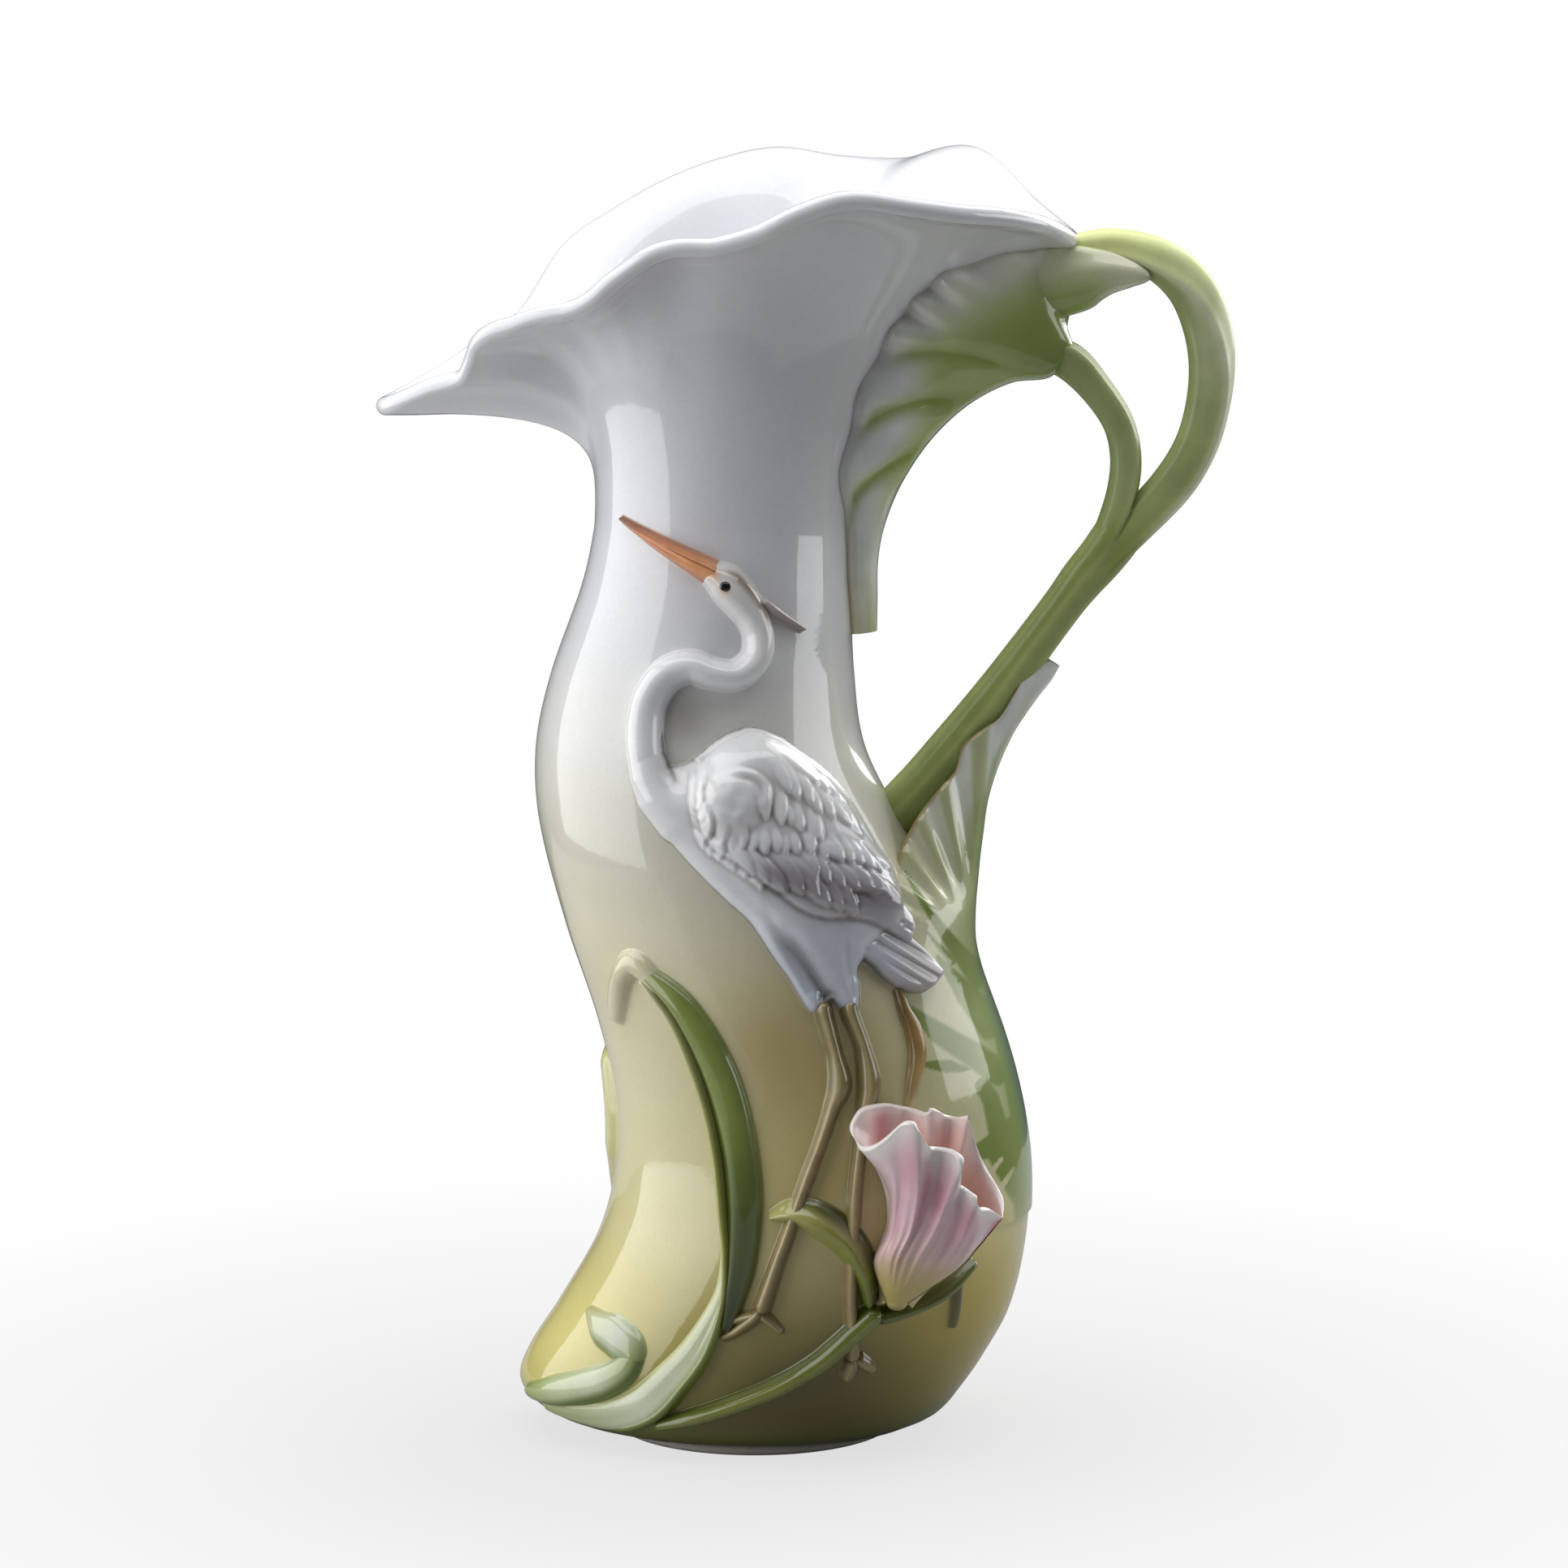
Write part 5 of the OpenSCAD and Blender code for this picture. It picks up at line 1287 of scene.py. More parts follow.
# The field's corners in the front view and its spacing
HERON_LOW = (-38.0, 121.0)
HERON_HIGH = (52.0, 206.0)
HERON_STEP = 0.32
HERON_PIECES = ["heron_body", "heron_wing", "heron_tail", "heron_thighs"]
BODY, WING, TAIL, THIGHS = range(len(HERON_PIECES))
PLUMAGE_STOPS = [
    [122, 200, 208, 220], [138, 210, 218, 230], [154, 236, 240, 247], [175, 244, 245, 247],
    [200, 250, 251, 252],
]
# How much darker the hollows between the feathers are, in red, green and blue
HOLLOW_SHADE = np.array([0.44, 0.48, 0.50])
FEATHER_SEED = 11


def closed_curve(points, steps):
    points = np.array(points, float)
    near = [np.roll(points, -k, 0) for k in (-1, 0, 1, 2)]
    t = (np.arange(steps) / steps)[None, :, None]
    return between(*[n[:, None] for n in near], t).reshape(-1, 2)


def inside_by(points, outline):
    """Distance of points to an outline, positive inside it."""
    x, z = np.moveaxis(points, -1, 0)
    nearest = np.full(x.shape, FAR)
    inside = np.zeros(x.shape, bool)
    for p, q in zip(outline, np.roll(outline, -1, 0)):
        nearest = np.minimum(nearest, along_line(points, p, q)[1])
        run, rise = q - p
        rise = rise if abs(rise) > TINY else TINY
        inside ^= ((p[1] > z) != (q[1] > z)) & (x < p[0] + (z - p[1]) * run / rise)
    return np.where(inside, nearest, -nearest)


def swelling(distance, reach, height):
    return height * rounded(1 - np.clip(distance / reach, 0, 1))


def feather(points, tip, heading, length, width, rise):
    """Height of one feather that overlaps what lies beyond its tip."""
    ahead = np.array([math.cos(heading), math.sin(heading)])
    rel = points - tip
    s = 1 + rel @ ahead / length
    q = (rel @ np.array([-ahead[1], ahead[0]])) / (width / 2)
    half = 1 - np.clip((s - 0.5) / 0.5, 0, 1) ** 2.2
    edge = (half - np.abs(q)) * width / 2
    mask = smooth(-0.15, 0.65, edge) * smooth(0.0, 0.5, s)
    rib = 0.12 * bell(q, 0, 0.18)
    tilt = 0.84 + 0.32 * np.clip(q, -1, 1)
    return rise * (0.15 + 0.85 * np.clip(s, 0, 1)) * (tilt + rib) * mask


def feather_layer(points):
    """Height of all the feathers; where they overlap, the highest one shows."""
    chance = np.random.default_rng(FEATHER_SEED)
    layer = np.zeros(points.shape[:-1])
    for first, last, count, head_a, head_b, length, width, rise in FEATHER_ROWS:
        for k in range(count):
            share = (k + 0.5) / count
            tip = mix(np.array(first, float), np.array(last, float), share) + chance.normal(0, 0.45, 2)
            heading = math.radians(mix(head_a, head_b, share) + chance.normal(0, 4))
            size = 1 + chance.normal(0, 0.08)
            near = np.abs(points - tip).max(-1) < length * 1.4
            part = feather(points[near], tip, heading, length * size, width * size, rise * size)
            layer[near] = np.maximum(layer[near], part)
    return layer


def furrow(points, start, end, width):
    """A soft groove along a line, which fades in from its start."""
    t, away = along_line(points, start, end)
    return bell(away, 0, width) * smooth(0.0, 0.35, t)


def neck_root(points):
    """The lower neck where it spreads into the breast: height, and distance inside its edge."""
    height = np.zeros(points.shape[:-1])
    inside = np.full(points.shape[:-1], -FAR)
    for (x0, z0, r0, share0), (x1, z1, r1, share1) in zip(NECK_ROOT[:-1], NECK_ROOT[1:]):
        t, away = along_line(points, (x0, z0), (x1, z1))
        r = mix(r0, r1, t)
        lift = SPRIG_SIZES["heron_neck"][1] * mix(share0, share1, t)
        height = np.maximum(height, lift * rounded(away / r))
        inside = np.maximum(inside, r - away)
    return height, inside


def blurred(field, times):
    for _ in range(times):
        for axis in (0, 1):
            field = (field + np.roll(field, 1, axis) + np.roll(field, -1, axis)) / 3
    return field


def trunk_height(points, inside, neck):
    """Breast, belly and thighs, which flow into the neck."""
    x, z = np.moveaxis(points, -1, 0)
    height = swelling(inside, mix(5.0, 12.0, smooth(128, 160, z)), mix(4.2, 8.0, smooth(126, 152, z)))
    for start, end, width, depth, rim in TRUNK_FURROWS:
        height = height - depth * furrow(points, start, end, width) * smooth(0.0, rim, inside)
    height = height * mix(1, smooth(200, 180, z), smooth(-12, -21, x))
    folds = np.sin(0.85 * (x + 0.9 * z)) * smooth(1.0, 5.0, inside) * smooth(176, 160, z) * smooth(6, -2, x)
    return smooth_max(height + 0.16 * folds, neck, 1.6)


def tail_height(points, inside):
    """The tail with its long feathers."""
    right, up = np.moveaxis(points - TAIL_ROOT, -1, 0)
    across = right * math.sin(TAIL_SLOPE) + up * math.cos(TAIL_SLOPE)
    barbs = 0.8 * np.abs(np.sin(across * math.pi / TAIL_FEATHER_W)) ** 0.55
    return np.where(inside > 0, swelling(inside, 1.8, 4.4) + barbs * smooth(0.2, 1.2, inside), 0)


def knob_height(points):
    """The shoulder knob, with a fold round its upper right and small lumps."""
    x, z = np.moveaxis(points, -1, 0)
    away = np.hypot((x - KNOB_AT[0]) / KNOB_R[0], (z - KNOB_AT[1]) / KNOB_R[1])
    right, up = np.moveaxis(points - FOLD_AT, -1, 0)
    arc = np.arctan2(up, right)
    fold = bell(np.hypot(right, up), FOLD_R, 0.85) * smooth(-0.6, 0.2, arc) * smooth(2.0, 1.2, arc)
    lumps = np.sin(1.0 * x + 0.5 * z) * np.sin(0.95 * z - 0.45 * x) * smooth(1.1, 0.6, away)
    return 2.0 * smooth(1.15, 0.35, away) + 0.75 * fold + 0.13 * lumps


def wing_height(points, wing_in, back_in):
    """The knob, and rows of feathers that end in the long ones."""
    reach = mix(10.0, 5.0, smooth(-8, 8, points[..., 0]))
    wing = swelling(wing_in, reach, 3.0) * smooth(0, 9, back_in)
    plumage = feather_layer(points) * smooth(-0.3, 1.4, wing_in + 2.2) * smooth(0.5, 4.5, back_in)
    return wing + knob_height(points) * smooth(0, 2.5, wing_in) + plumage


def heron_field(points):
    """Heights of the heron over the body, distance inside its outline, and the piece at each place."""
    x, z = np.moveaxis(points, -1, 0)
    outlines = (HERON_OUTLINE, WING_OUTLINE, TAIL_OUTLINE)
    body_in, wing_in, tail_in = [inside_by(points, closed_curve(outline, 5)) for outline in outlines]
    back_in = inside_by(points, np.array(BACK_REGION, float))
    neck, neck_in = neck_root(points)
    trunk = trunk_height(points, body_in, neck)
    tail = tail_height(points, tail_in)
    base = smooth_max(trunk, tail, 0.4) - 0.2
    base = np.maximum(base, 3.2 * smooth(-0.2, 0.9, wing_in) * (back_in > 0))
    height = base + wing_height(points, wing_in, back_in)
    whole_in = np.max([body_in, tail_in, neck_in, np.where(back_in > 0, wing_in, -FAR)], axis=0)
    slip = slip_height(np.maximum(-whole_in, 0))
    height = blurred(np.where(whole_in > 0, np.maximum(height, slip), slip), 1)
    label = np.where((tail_in > 0) & (tail > trunk), TAIL, BODY)
    label = np.where((wing_in > 0) & (back_in > 3), WING, label)
    thigh = (z < 140.5 + 0.35 * (x - 14)) & (x < 29)
    return height, whole_in, np.where((label == BODY) & thigh, THIGHS, label)


def plumage_paint(flat, height, label):
    x, z = np.moveaxis(flat, -1, 0)
    tint = painted(PLUMAGE_STOPS, z)
    # Grey tint with painted shade on the band below the wing's upper feathers
    dusk = furrow(flat, (-8, 166), (30, 152), 6.0) * (label == WING)
    tint = blend(tint, (146, 141, 145), 0.9 * blurred(dusk, 3))
    # Painted shade in the crease between belly and thighs
    groin_shade = furrow(flat, (8.0, 147.0), (20.3, 127.0), 1.8)
    tint = blend(tint, (150, 152, 158), 0.75 * groin_shade)
    shade = np.clip((blurred(height, 50) - height) / 2.0, 0, 1)
    tint = blend(tint, (146, 150, 158), 0.5 * shade)
    hollow = np.clip((blurred(height, 6) - height) / 0.45, 0, 1)
    tint = tint * (1 - hollow[..., None] * HOLLOW_SHADE)
    warm = smooth(30, 46, x) * smooth(160, 145, z)
    return blend(tint, (172, 161, 157), 0.65 * warm)


def build_heron_bulk():
    xs = np.arange(HERON_LOW[0], HERON_HIGH[0], HERON_STEP)
    zs = np.arange(HERON_LOW[1], HERON_HIGH[1], HERON_STEP)
    x, z = np.meshgrid(xs, zs)
    flat = np.stack([x, z], -1)
    height, whole_in, label = heron_field(flat)
    points = over_body(seat_angle(x, z, FRONT), z, height)
    own = smooth(-0.75 * SKIRT, 0.15, whole_in)
    tint = blend(ground_paint(points), plumage_paint(flat, height, label), own)
    cut_grid(points, tint, label, HERON_PIECES, whole_in > -SKIRT)


def cut_grid(points, tint, owner, nodes, used, flip=False):
    """Cut a grid into pieces by owner; they keep the grid's normals, so that no seam shows."""
    quads = grid_quads(*owner.shape, False, flip, 0)
    quads = quads[used.ravel()[quads].all(1)]
    normals = (grid_normals(points) * (-1 if flip else 1)).reshape(-1, 3)
    for k, node in enumerate(nodes):
        mine = quads[owner.ravel()[quads[:, 0]] == k]
        kept, index = np.unique(mine, return_inverse=True)
        piece = Piece(node + "_relief", "plumage_glaze", node)
        piece.points.append(points.reshape(-1, 3)[kept])
        piece.tints.append(tint.reshape(-1, 3)[kept])
        piece.quads.append(index.reshape(-1, 4))
        made = piece.build()
        made.data.normals_split_custom_set_from_vertices(np.ascontiguousarray(normals[kept]))


# The painted eye: its middle across and up, radius, lift over the body, and the rise of its dome
EYE_AT = (-8.0, 238.3)
EYE_R = 1.35
EYE_LIFT = 6.75
EYE_DOME = 0.75


def build_eye():
    """A small black dome on the painted eye."""
    turn = np.linspace(0, FULL_TURN, 24, endpoint=False)[None]
    arch = np.linspace(-0.5, 1.5, 10)[:, None]
    x = EYE_AT[0] + EYE_R * np.cos(turn) * np.cos(arch)
    z = EYE_AT[1] + EYE_R * np.sin(turn) * np.cos(arch)
    points = over_body(seat_angle(x, z, FRONT), z, EYE_LIFT + EYE_DOME * np.sin(arch) + 0 * turn)
    piece = Piece("heron_eye_bead", "plumage_glaze", "heron_head", "eye_glaze")
    piece.grid(points, (16, 14, 14), wrap=True)
    piece.build()


# The flower: two petal sheets drawn through guides from the base to the rim.
# Each guide holds three places and the rim, as seen: across, up and towards the viewer from the base.

FLOWER_FRONT_NET = [
    [[-5.5, 11.5, 0], [-2, 20.5, 2], [-2, 31.5, 5], [-10.5, 44.5, 8]],
    [[-5.5, 11.5, 3], [-2, 20.5, 6], [-2, 32, 10], [-9, 40.3, 12]],
    [[-4.3, 11.5, 6.5], [-0.8, 20.5, 10.5], [-0.4, 32.8, 16], [-4.6, 41.8, 17.5]],
    [[-2.4, 11.5, 8.8], [0.6, 20.5, 12], [1.8, 33, 16], [-0.4, 45.6, 21.5]],
    [[-1, 11.5, 10], [2.2, 20.5, 14], [3.6, 33, 19], [2.0, 48.4, 25.0]],
    [[0, 11.5, 11], [3.8, 20.5, 16], [6.0, 33, 22], [5.8, 46.6, 27]],
    [[0.8, 11.5, 11], [4.8, 20.5, 15.2], [7.4, 32, 19], [8.2, 42.6, 23]],
    [[1.6, 11.4, 11], [5.7, 20.5, 14], [8.7, 30.6, 15.4], [9.8, 40.8, 18.6]],
    [[3, 11, 11], [7.5, 20.5, 14], [10.6, 30, 15.6], [12.6, 41, 18.6]],
    [[4.4, 10.6, 11], [9.2, 20.2, 15.4], [12.6, 29.8, 18.6], [15.6, 40, 22]],
    [[5.6, 10.5, 11], [10.8, 19.6, 16.2], [14.6, 28.8, 20.4], [17.6, 36.6, 24]],
    [[6.9, 10.4, 10.8], [12, 19, 15.4], [15.6, 27.4, 18.6], [17.2, 33.0, 20.5]],
    [[8.5, 10, 10], [13.6, 18.4, 13.4], [16.2, 25.8, 15.6], [17.3, 30.4, 17]],
    [[10.6, 10, 9.2], [15.6, 17.2, 13.4], [18.4, 24.2, 17], [19.6, 28.9, 19]],
    [[12.6, 9.4, 8.6], [17.6, 16.2, 13.6], [20.4, 22.8, 18], [21.8, 26.8, 20.4]],
    [[14.4, 8.8, 7], [19.2, 15.3, 11.4], [21.6, 21.2, 15], [22.5, 24.4, 16]],
    [[16, 8.8, 4], [20.8, 15, 8.6], [23.6, 20.6, 11.6], [25.2, 25.3, 13]],
    [[17.5, 10, -1], [22.5, 15.5, 2], [26.5, 20.5, 4], [28.8, 23.6, 6]],
]
FLOWER_BACK_NET = [
    [[-5, 11.5, 0], [-1.5, 20.5, 2], [-1.5, 31.5, 5], [-10.5, 44.5, 8]],
    [[-3, 13, -2], [0, 22.5, -1], [-1.5, 34, 3], [-10.5, 48, 6]],
    [[-1.5, 14.5, -5], [0.5, 24, -4], [-2, 36, 0], [-8, 52, 4]],
    [[0, 16, -7], [1, 27, -6], [-2, 39, -3], [-4, 53, 0]],
    [[1, 18, -8], [1.5, 29, -7], [0.5, 40.5, -4], [0, 53, -2]],
    [[2.5, 18, -8], [4, 29, -7], [4, 40.5, -5], [4, 52, -4]],
    [[4, 17.5, -8], [6.5, 29, -5], [8, 40.5, 0], [8, 50.5, 2]],
    [[5, 17.5, -8], [8.5, 28.5, -5], [10.5, 41, 0], [11, 52, 2]],
    [[6.5, 17, -8], [10.5, 28, -7], [13.5, 40, -4], [15, 49.5, -3]],
    [[8, 16, -8], [13, 27, -5], [17, 39.5, 1], [19, 50, 4]],
    [[9, 15.5, -8], [14.5, 25.5, -6], [19, 37, -2], [21, 46, 1]],
    [[11.5, 13.5, -8], [17.5, 21.5, -7], [21.5, 30.5, -5], [23.5, 37, -3]],
    [[14.5, 11.5, -6], [20.5, 17.5, -5], [25, 24, -3], [27.5, 29, -1]],
    [[17.5, 10, -1], [22.5, 15.5, 2], [26.5, 20.5, 4], [29, 23.5, 6]],
]
FLOWER_AT = np.array([37.6, -52.0, 45.4])
# The photograph looks down a little, so that what is nearer seems lower and heights seem shorter
VIEW_SLOPE = 0.23
VIEW_STRETCH = 1.02
PETAL_T = 2.0
PETAL_EDGE_T = 0.2
PETAL_RIBS = 8.5
RIB_RISE = 0.42
# The base: its middle across, half width, half depth, and the heights of the petals' ring and the cup
BASE_X = 0.9
BASE_W = 2.9
BASE_D = 2.6
RING_UP = 0.6
CUP_UP = 0.8
CUP_H = 2.4
PETAL_OUTSIDE_STOPS = [[0, 206, 192, 134], [0.3, 218, 200, 196], [1, 232, 214, 216]]
FRONT_PETAL_STOPS = [
    [0, 206, 190, 104], [0.14, 216, 196, 130], [0.32, 236, 204, 200], [0.6, 242, 206, 218],
    [0.88, 242, 220, 226], [0.96, 250, 244, 242], [1, 252, 248, 245],
]
BACK_PETAL_STOPS = [
    [0, 240, 196, 160], [0.5, 246, 200, 176], [0.8, 248, 208, 196], [0.95, 250, 226, 222],
    [1, 252, 238, 234],
]
CUP_STOPS = [[-1.5, 150, 146, 74], [-0.4, 196, 184, 116], [0.7, 214, 200, 140]]
# Blushes on the front petal: place across and its spread, place up and its spread
BLUSHES = [[0.24, 0.07, 0.80, 0.13], [0.53, 0.05, 0.74, 0.16], [0.80, 0.06, 0.74, 0.18]]


def flower_point(seen):
    """From across, up and towards the viewer, as seen, to a place in the ewer's frame."""
    across, up, front = np.moveaxis(np.asarray(seen, float), -1, 0)
    return FLOWER_AT + np.stack([across, -front, VIEW_STRETCH * up + VIEW_SLOPE * front], -1)


def base_ring(turn, up, share=1.0):
    """Places round the flower's base, as seen, at a share of its full radius."""
    across = BASE_X + BASE_W * np.cos(turn) * share
    return np.stack(np.broadcast_arrays(across, up, -BASE_D * np.sin(turn) * share), -1)


def sheet(net, first_turn, last_turn, rows, columns, rounding):
    """A smooth sheet from a ring at the flower's base through a net of guides to the rim;
    rounding counts the passes that soften its folds."""
    net = np.array(net, float)
    turn = np.radians(np.linspace(first_turn, last_turn, len(net)))
    net = np.concatenate([base_ring(turn, RING_UP)[:, None], net], 1)
    rising = curve_through(np.moveaxis(net, 1, 0).reshape(net.shape[1], -1), np.linspace(0, 1, rows))
    guides = np.moveaxis(rising.reshape(rows, len(net), 3), 1, 0).reshape(len(net), -1)
    across = curve_through(guides, np.linspace(0, 1, columns))
    points = np.moveaxis(across.reshape(columns, rows, 3), 1, 0)
    for _ in range(rounding):
        points[:, 1:-1] = (points[:, :-2] + 2 * points[:, 1:-1] + points[:, 2:]) / 4
    return points


def petal(name, node, seen, paint):
    """A petal with thickness and a rounded rim behind the sheet that the viewer sees."""
    points = flower_point(seen)
    normal = grid_normals(points)
    if normal[..., 1].mean() > 0:
        normal = -normal
    place = np.linspace(0, 1, points.shape[1])
    thick = mix(PETAL_EDGE_T, PETAL_T, smooth(0, 0.08, place) * smooth(1, 0.92, place))[:, None]
    behind = points - normal * thick
    out = unit(points[-1] - points[-3])
    middle = (points[-1] + behind[-1]) / 2
    arch = np.linspace(0, math.pi, 9)[1:-1]
    rim = [middle + thick * 0.6 * (normal[-1] * math.cos(a) + out * math.sin(a)) for a in arch]
    level = np.linspace(0, 1, len(points))[:, None] + 0 * points[..., 0]
    face = paint(level, seen)
    edge = np.broadcast_to(face[-1:], (len(rim),) + face.shape[1:])
    hidden = painted(PETAL_OUTSIDE_STOPS, level)
    skin = np.concatenate([points, np.array(rim), behind[::-1]])
    one_grid(name, "petal_glaze", node, skin, np.concatenate([face, edge, hidden[::-1]]))


def hollows(seen, times):
    front = seen[..., 2]
    return np.clip((blurred(front, times) - front) / 1.6, 0, 1)


def front_petal_paint(level, seen):
    colour = painted(FRONT_PETAL_STOPS, level)
    folds = hollows(seen, 40) * smooth(0.15, 0.4, level) * smooth(1.0, 0.9, level)
    colour = blend(colour, (202, 112, 136), 0.9 * folds)
    side = np.linspace(0, 1, level.shape[1])[None]
    blush = sum(bell(side, x, w) * bell(level, up, h) for x, w, up, h in BLUSHES)
    return blend(colour, (212, 120, 142), 0.4 * np.clip(blush, 0, 1))


def back_petal_paint(level, seen):
    colour = painted(BACK_PETAL_STOPS, level)
    streak = bell(seen[..., 0], -3.5, 2.4) * smooth(0.5, 0.8, level)
    colour = blend(colour, (224, 130, 142), 0.6 * streak * smooth(1.0, 0.93, level))
    return blend(colour, (214, 130, 128), 0.45 * hollows(seen, 30) * smooth(1.0, 0.9, level))


def build_petals():
    front = sheet(FLOWER_FRONT_NET, 180, 360, 70, 190, 60)
    level = np.linspace(0, 1, front.shape[0])[:, None]
    side = np.linspace(0, 1, front.shape[1])[None]
    ribs = np.cos(FULL_TURN * PETAL_RIBS * side + 1.4 * level)
    front[..., 2] += RIB_RISE * ribs * smooth(0.08, 0.30, level) * smooth(0.92, 0.62, level)
    petal("flower_front_petal_ruffle", "flower_front_petal", front, front_petal_paint)
    back = sheet(FLOWER_BACK_NET, 180, 0, 60, 150, 16)
    petal("flower_back_petal_ruffle", "flower_back_petal", back, back_petal_paint)


def build_flower_base():
    turn = np.linspace(0, FULL_TURN, 36, endpoint=False)[None]
    arch = np.radians(np.linspace(-88, 40, 20))[:, None]
    points = flower_point(base_ring(turn, CUP_UP + CUP_H * np.sin(arch), np.cos(arch)))
    tint = painted(CUP_STOPS, arch + 0 * turn)
    one_grid("flower_base_cup", "petal_glaze", "flower_base", points, tint, wrap=True)


# The foot ring stays as the CAD has it, in unglazed porcelain

def dress_foot_ring():
    material, tree, place = new_material("bare_porcelain")
    shader = tree.nodes["Principled BSDF"]
    ramp = tree.nodes.new("ShaderNodeValToRGB")
    ramp.color_ramp.elements[0].color = (0.62, 0.58, 0.50, 1)
    ramp.color_ramp.elements[1].color = (0.82, 0.80, 0.74, 1)
    link(tree, noise_node(tree, place, 260.0, 5.0), ramp.inputs["Fac"])
    link(tree, ramp.outputs["Color"], shader.inputs["Base Color"])
    dull = range_node(tree, noise_node(tree, place, 700.0, 3.0), 0.55, 0.85)
    link(tree, dull, shader.inputs["Roughness"])
    rough = bump_node(tree, noise_node(tree, place, 1200.0, 3.0), 0.25, 0.0004)
    link(tree, rough.outputs["Normal"], shader.inputs["Normal"])
    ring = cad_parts["foot_ring"]
    ring.data.materials.clear()
    ring.data.materials.append(material)


# The studio: a white table and backdrop, and soft boxes on the left, right, behind and above

TABLE_HALF = 0.46
PAPER_GREY = (0.36, 0.36, 0.36, 1)
PLAIN_WHITE = (1, 1, 1, 1)
# Distances from the foot between which the paper fades to white, and its share of white at the first
FADE_START = 0.06
FADE_END = 0.34
FIRST_WHITE = 0.72
LIGHT_AIM = Vector((0.0, 0.0, 0.17))
# Soft boxes: azimuth, elevation, distance, width, height, power
SOFT_BOXES = {
    "key_box": (80, 12, 1.0, 1.4, 1.2, 10.7),
    "right_box": (-92, 11, 1.1, 0.9, 0.43, 2.9),
    "rim_box": (-136, 24, 1.1, 0.7, 0.8, 5.6),
    "top_box": (180, 84, 0.9, 1.5, 1.3, 12.0),
}


def paper_material():
    """Paper that keeps the shadow near the foot and fades out to plain white for the camera."""
    material, tree, place = new_material("studio_paper")
    tree.nodes.remove(tree.nodes["Principled BSDF"])
    paper = tree.nodes.new("ShaderNodeBsdfDiffuse")
    paper.inputs["Color"].default_value = PAPER_GREY
    glow = tree.nodes.new("ShaderNodeEmission")
    glow.inputs["Color"].default_value = PLAIN_WHITE
    reach = tree.nodes.new("ShaderNodeVectorMath")
    reach.operation = "LENGTH"
    link(tree, place, reach.inputs[0])
    white = range_node(tree, reach.outputs["Value"], FIRST_WHITE, 1.0, FADE_START, FADE_END)
    seen = tree.nodes.new("ShaderNodeLightPath").outputs["Is Camera Ray"]
    share = product_node(tree, seen, white)
    both = mix_node(tree, share, paper.outputs["BSDF"], glow.outputs["Emission"])
    link(tree, both, tree.nodes["Material Output"].inputs["Surface"])
    return material


def build_floor():
    corners = [(-1, -1), (1, -1), (1, 1), (-1, 1)]
    mesh = bpy.data.meshes.new("studio_floor")
    mesh.from_pydata([(x * TABLE_HALF, y * TABLE_HALF, 0) for x, y in corners], [], [(0, 1, 2, 3)])
    mesh.materials.append(paper_material())
    floor = bpy.data.objects.new("studio_floor", mesh)
    bpy.context.scene.collection.objects.link(floor)


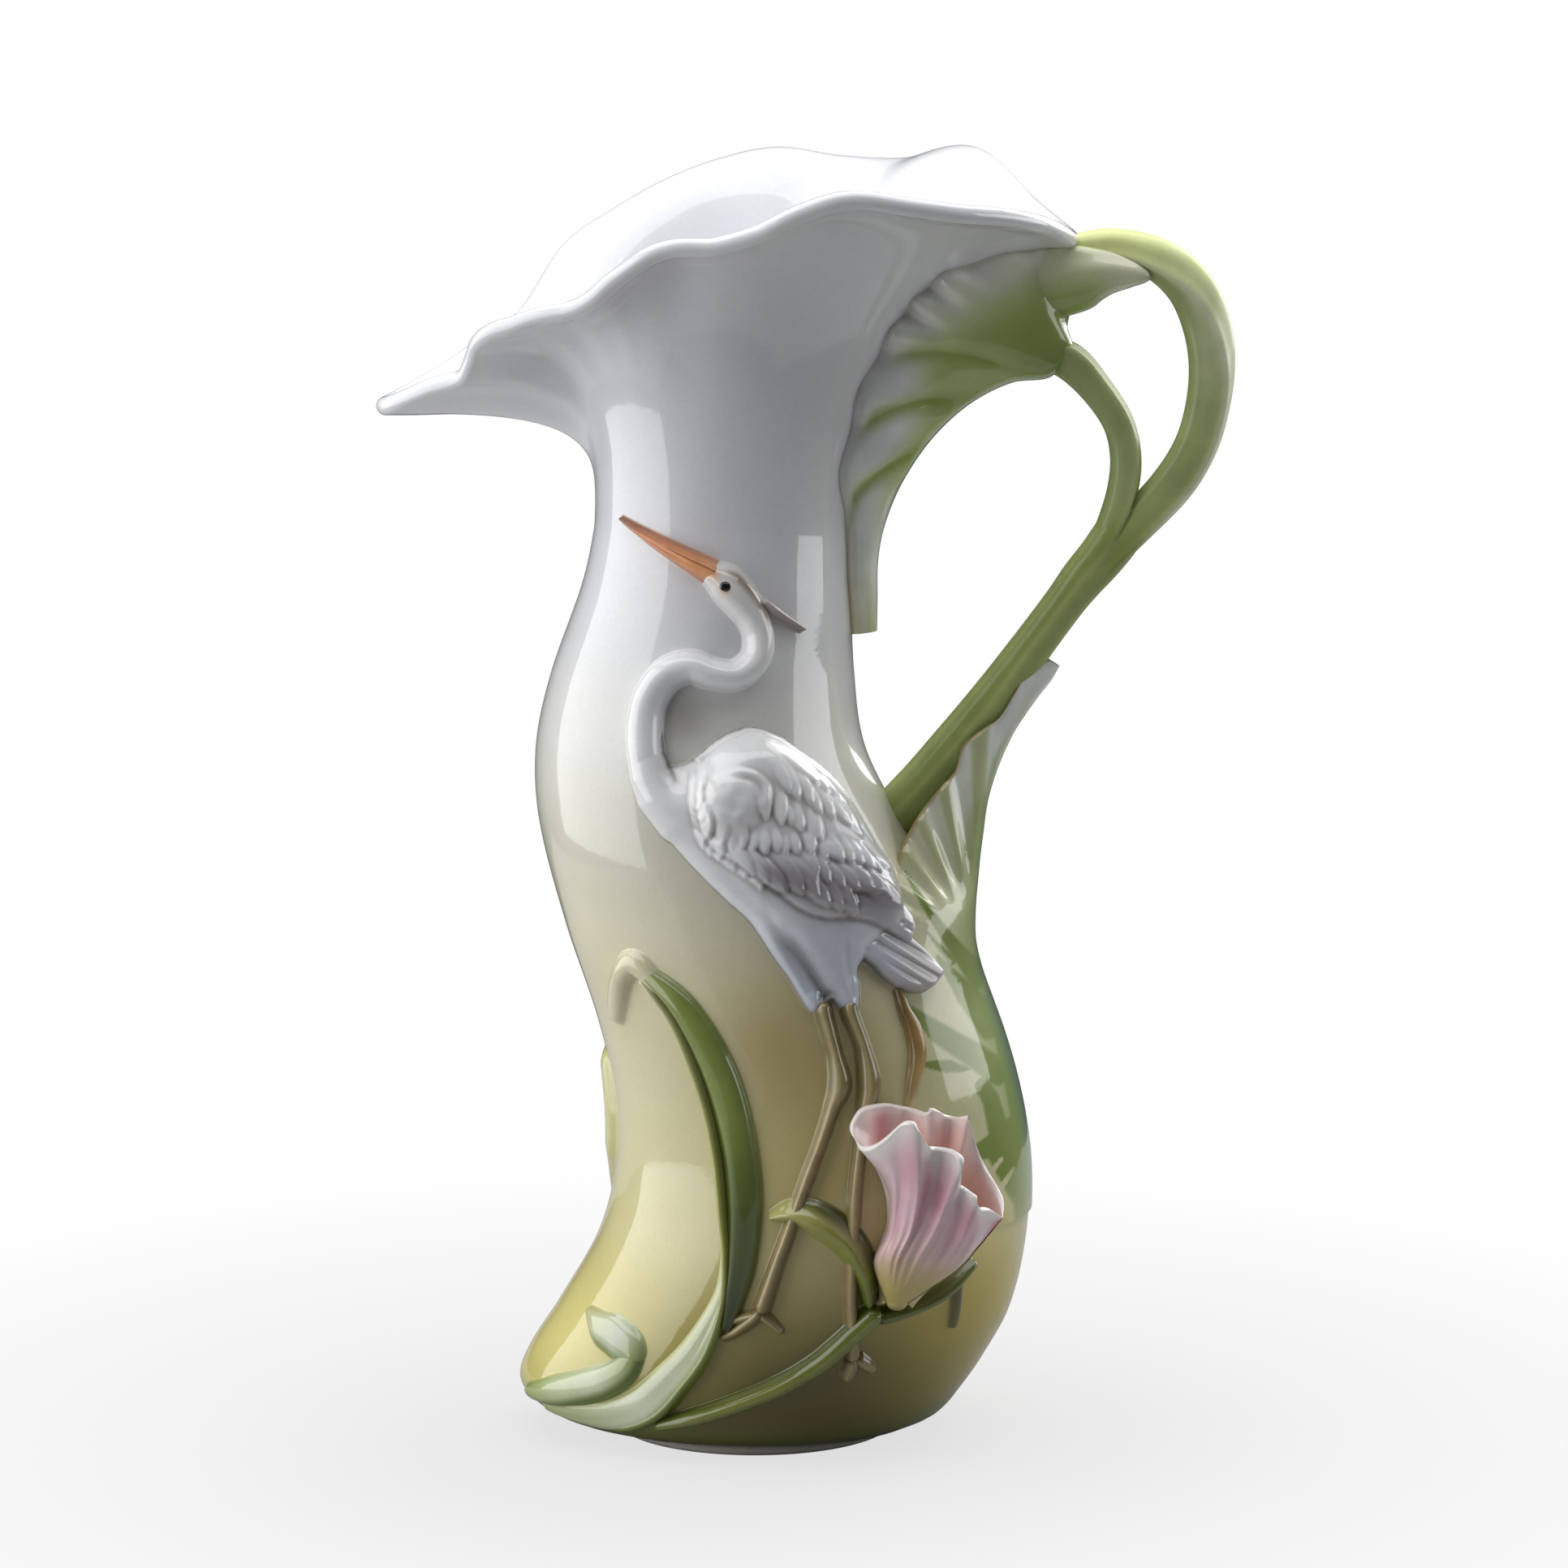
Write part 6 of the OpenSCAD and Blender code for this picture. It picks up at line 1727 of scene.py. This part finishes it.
def build_world():
    """A dim sky that lights the ewer, in front of a backdrop that is white for the camera."""
    world = bpy.data.worlds.new("studio")
    bpy.context.scene.world = world
    world.use_nodes = True
    tree = world.node_tree
    dim = tree.nodes["Background"]
    dim.inputs["Color"].default_value = (0.80, 0.82, 0.86, 1)
    dim.inputs["Strength"].default_value = 0.06
    bright = tree.nodes.new("ShaderNodeBackground")
    bright.inputs["Color"].default_value = PLAIN_WHITE
    bright.inputs["Strength"].default_value = 1.0
    seen = tree.nodes.new("ShaderNodeLightPath").outputs["Is Camera Ray"]
    both = mix_node(tree, seen, dim.outputs["Background"], bright.outputs["Background"])
    link(tree, both, tree.nodes["World Output"].inputs["Surface"])


def aimed(name, data, aim, away, distance):
    """A lamp or camera that looks at a place from a distance."""
    holder = bpy.data.objects.new(name, data)
    holder.location = aim + away * distance
    holder.rotation_mode = "QUATERNION"
    holder.rotation_quaternion = (-away).to_track_quat("-Z", "Y")
    bpy.context.scene.collection.objects.link(holder)
    return holder


def soft_box(name, azimuth, elevation, distance, width, height, power):
    """A rectangular lamp aimed at the ewer; azimuth 0 is the camera's side and 90 is the left."""
    a = math.radians(azimuth)
    e = math.radians(elevation)
    away = Vector((-math.sin(a) * math.cos(e), -math.cos(a) * math.cos(e), math.sin(e)))
    lamp = bpy.data.lights.new(name, "AREA")
    lamp.shape = "RECTANGLE"
    lamp.size = width
    lamp.size_y = height
    lamp.energy = power
    lamp.color = PLAIN_WHITE[:3]
    aimed(name, lamp, LIGHT_AIM, away, distance)


def build_lights():
    for name, row in SOFT_BOXES.items():
        soft_box(name, *row)


# The camera stands where the photograph was taken from

CAMERA_DISTANCE = 1.8
CAMERA_RISE = math.radians(9.0)
CAMERA_AIM = Vector((0.008, 0.0, 0.1795))
PIXELS_PER_METRE = 4490.0
IMAGE_SIZE = 1932
SENSOR_W = 36.0


def build_camera():
    camera = bpy.data.cameras.new("photo_camera")
    camera.sensor_width = SENSOR_W
    camera.lens = SENSOR_W * PIXELS_PER_METRE * CAMERA_DISTANCE / IMAGE_SIZE
    camera.dof.use_dof = False
    back = Vector((0.0, -math.cos(CAMERA_RISE), math.sin(CAMERA_RISE)))
    bpy.context.scene.camera = aimed("photo_camera", camera, CAMERA_AIM, back, CAMERA_DISTANCE)


build_body()
build_mouth()
build_outer_branch()
build_inner_branch()
build_stem()
build_upper_leaf()
build_curl()
build_lower_leaf()
build_reeds()
build_base_leaves()
build_stalks()
build_neck()
build_bill_and_crest()
build_legs()
build_heron_bulk()
build_eye()
build_petals()
build_flower_base()
dress_foot_ring()
build_floor()
build_world()
build_lights()
build_camera()
bpy.context.scene.view_settings.view_transform = "Standard"
